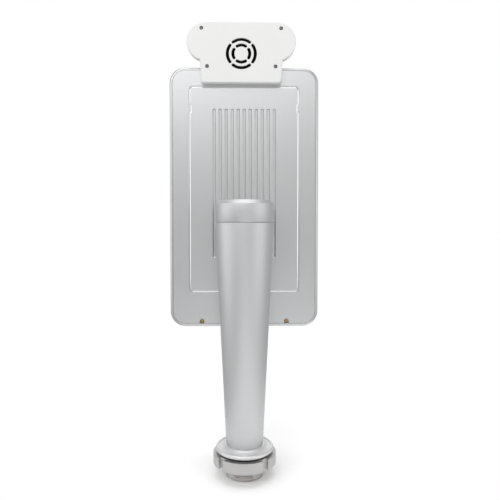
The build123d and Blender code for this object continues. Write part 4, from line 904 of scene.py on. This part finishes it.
class MakeFlange(bpy.types.Operator):
    """Foot flange with its shoulder, dish and rolled bead"""

    bl_idname = "fare_terminal.flange"
    bl_label = "Foot flange"

    def execute(self, context):
        bead_z = FLANGE_T - FLANGE_BEAD_R
        bead = arc((FLANGE_R - FLANGE_BEAD_R, bead_z), FLANGE_BEAD_R, 0.0, math.radians(150), 14)
        profile = np.concatenate([
            [(FOOT_SOCKET_R, 0.0), (GASKET_INNER_R, 0.0), (GASKET_INNER_R, GASKET_T),
             (GASKET_OUTER_R, GASKET_T), (GASKET_OUTER_R, 0.0),
             (FLANGE_R - FLANGE_RIM_BEVEL, 0.0), (FLANGE_R, FLANGE_RIM_BEVEL)],
            bead,
            [(FLANGE_R - 2 * FLANGE_BEAD_R - 0.4, FLANGE_T - FLANGE_DISH),
             (SHOULDER_R + 2.6, FLANGE_T + 0.05), (SHOULDER_R + 0.9, FLANGE_T + 0.75),
             (SHOULDER_R, COLUMN_FOOT_Z - SHOULDER_BEVEL),
             (SHOULDER_R - SHOULDER_BEVEL, COLUMN_FOOT_Z), (FOOT_SOCKET_R, COLUMN_FOOT_Z)],
        ])
        skin = Skin()
        skin.strip(turned(profile, 160), closed=True)
        fit(skin.piece("foot_flange", sharp=50.0), "column", "base_flange")
        return {"FINISHED"}


class MakeStud(bpy.types.Operator):
    """Hollow stud with its thread"""

    bl_idname = "fare_terminal.stud"
    bl_label = "Threaded stud"

    def execute(self, context):
        sizes = context.scene.terminal_sizes
        around, per_pitch = 120, 8
        rows = int(STUD_LENGTH / sizes.thread_pitch * per_pitch)
        angle = np.linspace(0.0, FULL_TURN, around, endpoint=False)[None, :]
        height = np.linspace(0.0, -STUD_LENGTH, rows)[:, None]
        # thread radius: a triangle wave of height over pitch plus the turned share, cut from
        # the full radius, and never outside the quarter circle that rounds the stud's end
        phase = np.mod(height / sizes.thread_pitch + angle / FULL_TURN, 1.0)
        thread = THREAD_R - sizes.thread_depth * np.abs(2 * phase - 1)
        into_end = np.clip(STUD_END_ROUND - (height + STUD_LENGTH), 0.0, STUD_END_ROUND)
        rounded = THREAD_R - STUD_END_ROUND + np.sqrt(STUD_END_ROUND**2 - into_end**2)
        near_top = THREAD_R - np.clip(sizes.thread_depth + height, 0.0, None)
        radius = np.minimum(np.minimum(thread, rounded), near_top)
        full = np.broadcast_to(angle, radius.shape)
        outer = np.stack([
            radius * np.cos(full), radius * np.sin(full), np.broadcast_to(height, radius.shape)
        ], -1)
        bore = filleted(
            [(CABLE_BORE_R, -STUD_LENGTH), (CABLE_BORE_R, NECK_TOP_Z), (NECK_R, NECK_TOP_Z),
             (NECK_R, 0.0)],
            [0.0, 0.3, 0.3, 0.0], 3,
        )
        bore = np.concatenate([[(CABLE_BORE_R + 0.5, -STUD_LENGTH)], bore[1:]])
        bore = np.insert(bore, 1, (CABLE_BORE_R, -STUD_LENGTH + 0.5), axis=0)
        skin = Skin()
        skin.strip(np.concatenate([turned(bore, around), outer]), closed=True)
        fit(skin.piece("threaded_stud_body", sharp=60.0), "column", "threaded_stud")
        return {"FINISHED"}


class MakeRingNut(bpy.types.Operator):
    """Ring nut with four spanner notches"""

    bl_idname = "fare_terminal.ring_nut"
    bl_label = "Ring nut"

    def execute(self, context):
        rounding = context.scene.terminal_sizes.edge_round
        half = NUT_NOTCH_W / 2
        opening = math.asin(half / NUT_R)
        floor_r = NUT_R - NUT_NOTCH_DEPTH
        span = FULL_TURN / NUT_NOTCHES
        # one quarter of the outline: notch floor, notch mouth and the arc to the next notch
        quarter = np.concatenate([
            [(floor_r, -half), (floor_r, half)],
            arc((0.0, 0.0), NUT_R, opening, span - opening, 14),
        ])
        radii = np.tile(
            [NUT_NOTCH_ROUND] * 2 + [NUT_MOUTH_ROUND] + [0.0] * 12 + [NUT_MOUTH_ROUND],
            NUT_NOTCHES,
        )
        outline = filleted(spun(quarter, NUT_NOTCHES, NUT_FIRST_NOTCH), radii, steps=5)
        profile = [
            (-rounding, NUT_TOP_Z), (-rounding * 0.3, NUT_TOP_Z - rounding * 0.3),
            (0.0, NUT_TOP_Z - rounding), (0.0, NUT_LOW_Z + rounding),
            (-rounding * 0.3, NUT_LOW_Z + rounding * 0.3), (-rounding, NUT_LOW_Z),
        ]
        rings = np.stack([
            np.pad(grown(outline, grow), ((0, 0), (0, 1)), constant_values=height)
            for grow, height in profile
        ])
        skin = Skin()
        outer = skin.strip(rings)
        step, bevel = NUT_TOP_Z - NUT_RECESS, NUT_BORE_BEVEL
        inside = skin.strip(turned(np.array([
            (NUT_RECESS_R, NUT_TOP_Z), (NUT_RECESS_R, step), (NUT_BORE_R + bevel, step),
            (NUT_BORE_R, step - bevel), (NUT_BORE_R, NUT_LOW_Z + bevel),
            (NUT_BORE_R + bevel, NUT_LOW_Z),
        ]), 120))
        skin.fill(outer[0], inside[0])
        skin.fill(outer[-1], inside[-1])
        fit(skin.piece("notched_ring_nut"), "ring_nut_body", "ring_nut")
        return {"FINISHED"}


class MakeRearShell(bpy.types.Operator):
    """Rear shell with its rounded rim, the window for the panel and two screw recesses"""

    bl_idname = "fare_terminal.rear_shell"
    bl_label = "Rear shell"

    def execute(self, context):
        back, line = TERMINAL_BACK, context.scene.terminal_sizes.rim_line
        floor = back + SHELL_BACK_T
        rim = [
            *[(across, back + line * share) for across, share in RIM_LINE],
            *[(across, back + deeper) for across, deeper in RIM_ROUND],
            (0.0, SHELL_FRONT - 0.2), (-0.2, SHELL_FRONT), (-SHELL_WALL, SHELL_FRONT),
            (-SHELL_WALL, floor),
        ]
        skin = Skin()
        outer = skin.strip(carried(terminal_outline(), rim))
        window = skin.strip(np.stack([
            facing_back(panel_outline(PANEL_GROOVE + grow), depth)
            for grow, depth in (
                (0.32, back), (0.22, back + 0.04), (0.0, back + 0.3), (0.0, floor)
            )
        ]))
        recesses = [
            skin.recess(circle((side * CASE_SCREW_X, CASE_SCREW_Z), CASE_RECESS_R, 40),
                        back, CASE_RECESS_DEPTH, 0.12)
            for side in (1, -1)
        ]
        skin.fill(outer[0], window[0], *recesses)
        skin.fill(outer[-1], window[-1])
        fit(skin.piece("rear_shell_moulding"), "terminal", "rear_shell")
        return {"FINISHED"}


class MakePanel(bpy.types.Operator):
    """Heat sink panel with eleven flutes and the groove's floor round it"""

    bl_idname = "fare_terminal.panel"
    bl_label = "Heat sink panel"

    def execute(self, context):
        sizes = context.scene.terminal_sizes
        back, slope, groove = TERMINAL_BACK, sizes.groove_slope, sizes.groove_depth
        floor = back + SHELL_BACK_T
        skin = Skin()
        # the panel's outward slope is marked for a painted highlight and a polish
        rim = skin.strip(np.stack([
            facing_back(panel_outline(grow), depth)
            for grow, depth in (
                (-0.05, back), (slope * 0.08, back + 0.03), (slope * 0.92, back + groove - 0.1),
                (slope, back + groove), (PANEL_GROOVE - HELD_TIGHT, back + groove),
                (PANEL_GROOVE - HELD_TIGHT, floor),
            )
        ]), cut=(1,))
        skin.fill(rim[-1])
        lip = sizes.flute_lip
        half = FLUTE_W / 2
        trough = [
            (lip, back), (lip * 0.3, back + lip * 0.3), (0.0, back + lip),
            *[(across, back + deeper) for across, deeper in FLUTE_BED],
        ]
        flutes = []
        for k in range(FLUTES):
            x = (k - (FLUTES - 1) / 2) * FLUTE_PITCH
            line = np.concatenate([
                arc((x, FLUTE_TOP_Z - half), half, 0.0, math.pi, 14),
                arc((x, FLUTE_LOW_Z + half), half, math.pi, FULL_TURN, 14),
            ])
            # each flute's rounded lip is marked for a painted highlight and a polish
            flute = skin.strip(carried(line, trough), cut=(0, 1))
            skin.fill(flute[-1])
            flutes.append(flute[0])
        skin.fill(rim[0], *flutes)
        grow = PANEL_GROOVE + PANEL_LIP
        skin.block(carried(
            rounded_box((0.0, PANEL_MID_Z), PANEL_W + 2 * grow, PANEL_H + 2 * grow,
                        PANEL_CORNER_R + grow),
            [(0.0, floor), (0.0, PANEL_INSIDE)],
        ))
        fit(skin.piece("fluted_panel"), "terminal", "heatsink_panel")
        return {"FINISHED"}


class MakeHeadCover(bpy.types.Operator):
    """Rear cover of the sensor head with the slotted grille and four screw recesses"""

    bl_idname = "fare_terminal.head_cover"
    bl_label = "Head cover"

    def execute(self, context):
        skin = Skin()
        rim = skin.strip(carried(head_outline(), [
            *[(across, HEAD_BACK + deeper) for across, deeper in COVER_ROUND],
            (0.0, COVER_FRONT - 0.1), (-0.1, COVER_FRONT), (-HEAD_WALL, COVER_FRONT),
            (-HEAD_WALL, COVER_INSIDE),
        ]))
        slots = [
            skin.strip(carried(
                slot_outline((HEAD_X, GRILLE_Z), orbit, GRILLE_SLOT_W,
                             math.pi / 2 + turn * FULL_TURN / GRILLE_SLOTS, sweep),
                [(0.12, HEAD_BACK), (0.09, HEAD_BACK + 0.06), (0.09, COVER_INSIDE)],
            ))
            for orbit, sweep in GRILLE_RINGS
            for turn in range(GRILLE_SLOTS)
        ]
        recesses = [
            skin.recess(circle((HEAD_X + side * x, z), COVER_RECESS_R, 36),
                        HEAD_BACK, COVER_RECESS_DEPTH, 0.1)
            for side in (1, -1)
            for x, z in COVER_SCREWS
        ]
        skin.fill(rim[0], *[s[0] for s in slots], *recesses)
        skin.fill(rim[-1], *[s[-1] for s in slots])
        fit(skin.piece("head_cover_moulding"), "terminal", "head_rear_cover")
        return {"FINISHED"}


def cross(centre, reach, width):
    """A plus-shaped outline with slightly rounded corners, anticlockwise."""
    half = width / 2
    arm = np.array([(reach, -half), (reach, half), (half, half)])
    radii = np.tile([half * 0.6, half * 0.6, half * 0.4], 4)
    return filleted(spun(arm, 4), radii, 3) + np.asarray(centre)


def screw_set(places, head_r, head_t, shank_r, head_back, length):
    """Crowned screws: each head's profile runs from the recess out over the crown and down
    to the shank, carried round a circle, and a cross sinks into it."""
    skin = Skin()
    for centre in places:
        line = circle(centre, head_r, 40)
        body = skin.strip(carried(line, [
            (-head_r * 0.30, head_back), (-head_r * 0.16, head_back + head_t * 0.05),
            (-head_r * 0.06, head_back + head_t * 0.16), (0.0, head_back + head_t * 0.38),
            (0.0, head_back + head_t), (shank_r - head_r, head_back + head_t),
            (shank_r - head_r, head_back + head_t + length),
        ]))
        slot = skin.strip(carried(cross(centre, head_r * 0.60, head_r * 0.30), [
            (0.0, head_back), (-head_r * 0.04, head_back + head_t * 0.5),
        ]))
        skin.fill(slot[-1])
        skin.fill(body[0], slot[0])
        skin.fill(body[-1])
    return skin


class MakeScrews(bpy.types.Operator):
    """The two case screws and the four screws of the head's cover"""

    bl_idname = "fare_terminal.screws"
    bl_label = "Cross-slot screws"

    def execute(self, context):
        case = [(side * CASE_SCREW_X, CASE_SCREW_Z) for side in (1, -1)]
        skin = screw_set(
            case, CASE_SCREW_HEAD_R, CASE_SCREW_HEAD_T, CASE_SCREW_R,
            TERMINAL_BACK + CASE_SCREW_SUNK, CASE_SCREW_LENGTH,
        )
        fit(skin.piece("case_screw_pair"), "terminal", "case_screws")
        cover = [(HEAD_X + side * x, z) for side in (1, -1) for x, z in COVER_SCREWS]
        skin = screw_set(
            cover, COVER_SCREW_HEAD_R, COVER_SCREW_HEAD_T, COVER_SCREW_R,
            HEAD_BACK + COVER_SCREW_SUNK, COVER_SCREW_LENGTH,
        )
        fit(skin.piece("cover_screw_set"), "terminal", "head_cover_screws")
        return {"FINISHED"}


class MakeSpeakerCloth(bpy.types.Operator):
    """Black cloth behind the grille, slightly bowed"""

    bl_idname = "fare_terminal.speaker_cloth"
    bl_label = "Speaker cloth"

    def execute(self, context):
        skin = Skin()
        skin.block(carried(circle((HEAD_X, GRILLE_Z), CLOTH_R, 64), [
            *[(across, COVER_INSIDE + deeper) for across, deeper in CLOTH_BOW],
            (0.0, COVER_INSIDE + CLOTH_T),
        ]))
        fit(skin.piece("speaker_cloth"), "terminal", "grille_mesh")
        return {"FINISHED"}


class MakeFrontGlass(bpy.types.Operator):
    """Front glass with a ground edge"""

    bl_idname = "fare_terminal.front_glass"
    bl_label = "Front glass"

    def execute(self, context):
        skin = Skin()
        skin.block(carried(terminal_outline(GLASS_INSET), [
            (0.0, GLASS_BACK),
            *[(across, FRAME_FRONT - behind) for across, behind in GLASS_EDGE],
        ]))
        fit(skin.piece("front_glass_pane"), "terminal", "front_glass")
        return {"FINISHED"}


class FinishSwivelParts(bpy.types.Operator):
    """Finishes and soft edges for the collar, the bracket and the joints' small parts"""

    bl_idname = "fare_terminal.swivel_parts"
    bl_label = "Swivel, tilt and clamp parts"

    def execute(self, context):
        return keep_shapes(context, SWIVEL_PARTS)


class FinishCaseParts(bpy.types.Operator):
    """Finishes and soft edges for the front frame, the chassis and their fixings"""

    bl_idname = "fare_terminal.case_parts"
    bl_label = "Frame and chassis"

    def execute(self, context):
        return keep_shapes(context, CASE_PARTS)


class FinishElectronics(bpy.types.Operator):
    """Finishes and soft edges for the display, the boards and what they carry"""

    bl_idname = "fare_terminal.electronics"
    bl_label = "Display and boards"

    def execute(self, context):
        return keep_shapes(context, ELECTRONICS)


class FinishHeadParts(bpy.types.Operator):
    """Finishes and soft edges for the sensor head's housing, speaker and sensor"""

    bl_idname = "fare_terminal.head_parts"
    bl_label = "Sensor head parts"

    def execute(self, context):
        return keep_shapes(context, HEAD_PARTS)


class FareTerminalPanel(bpy.types.Panel):
    """Lists the pieces and their settings"""

    bl_idname = "VIEW3D_PT_fare_terminal"
    bl_label = "Fare terminal"
    bl_space_type = "VIEW_3D"
    bl_region_type = "UI"
    bl_category = "Fare terminal"

    def draw(self, context):
        for name, group in GROUPS:
            box = self.layout.box()
            for setting in group.__annotations__:
                box.prop(getattr(context.scene, name), setting)
        for step in STEPS:
            self.layout.operator(step.bl_idname)


STEPS = (
    MakeStage,
    MakeColumn,
    MakeFlange,
    MakeStud,
    MakeRingNut,
    MakeRearShell,
    MakePanel,
    MakeHeadCover,
    MakeScrews,
    MakeSpeakerCloth,
    MakeFrontGlass,
    FinishSwivelParts,
    FinishCaseParts,
    FinishElectronics,
    FinishHeadParts,
)
GROUPS = (
    ("terminal_sizes", TerminalSizes),
    ("terminal_finishes", TerminalFinishes),
    ("terminal_studio", TerminalStudio),
)


def register():
    for name, group in GROUPS:
        bpy.utils.register_class(group)
        setattr(bpy.types.Scene, name, PointerProperty(type=group))
    for step in STEPS:
        bpy.utils.register_class(step)
    bpy.utils.register_class(FareTerminalPanel)


def unregister():
    bpy.utils.unregister_class(FareTerminalPanel)
    for step in reversed(STEPS):
        bpy.utils.unregister_class(step)
    for name, group in reversed(GROUPS):
        delattr(bpy.types.Scene, name)
        bpy.utils.unregister_class(group)


def main():
    """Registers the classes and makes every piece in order."""
    register()
    for step in STEPS:
        family, action = step.bl_idname.split(".")
        getattr(getattr(bpy.ops, family), action)()


if __name__ == "__main__":
    main()
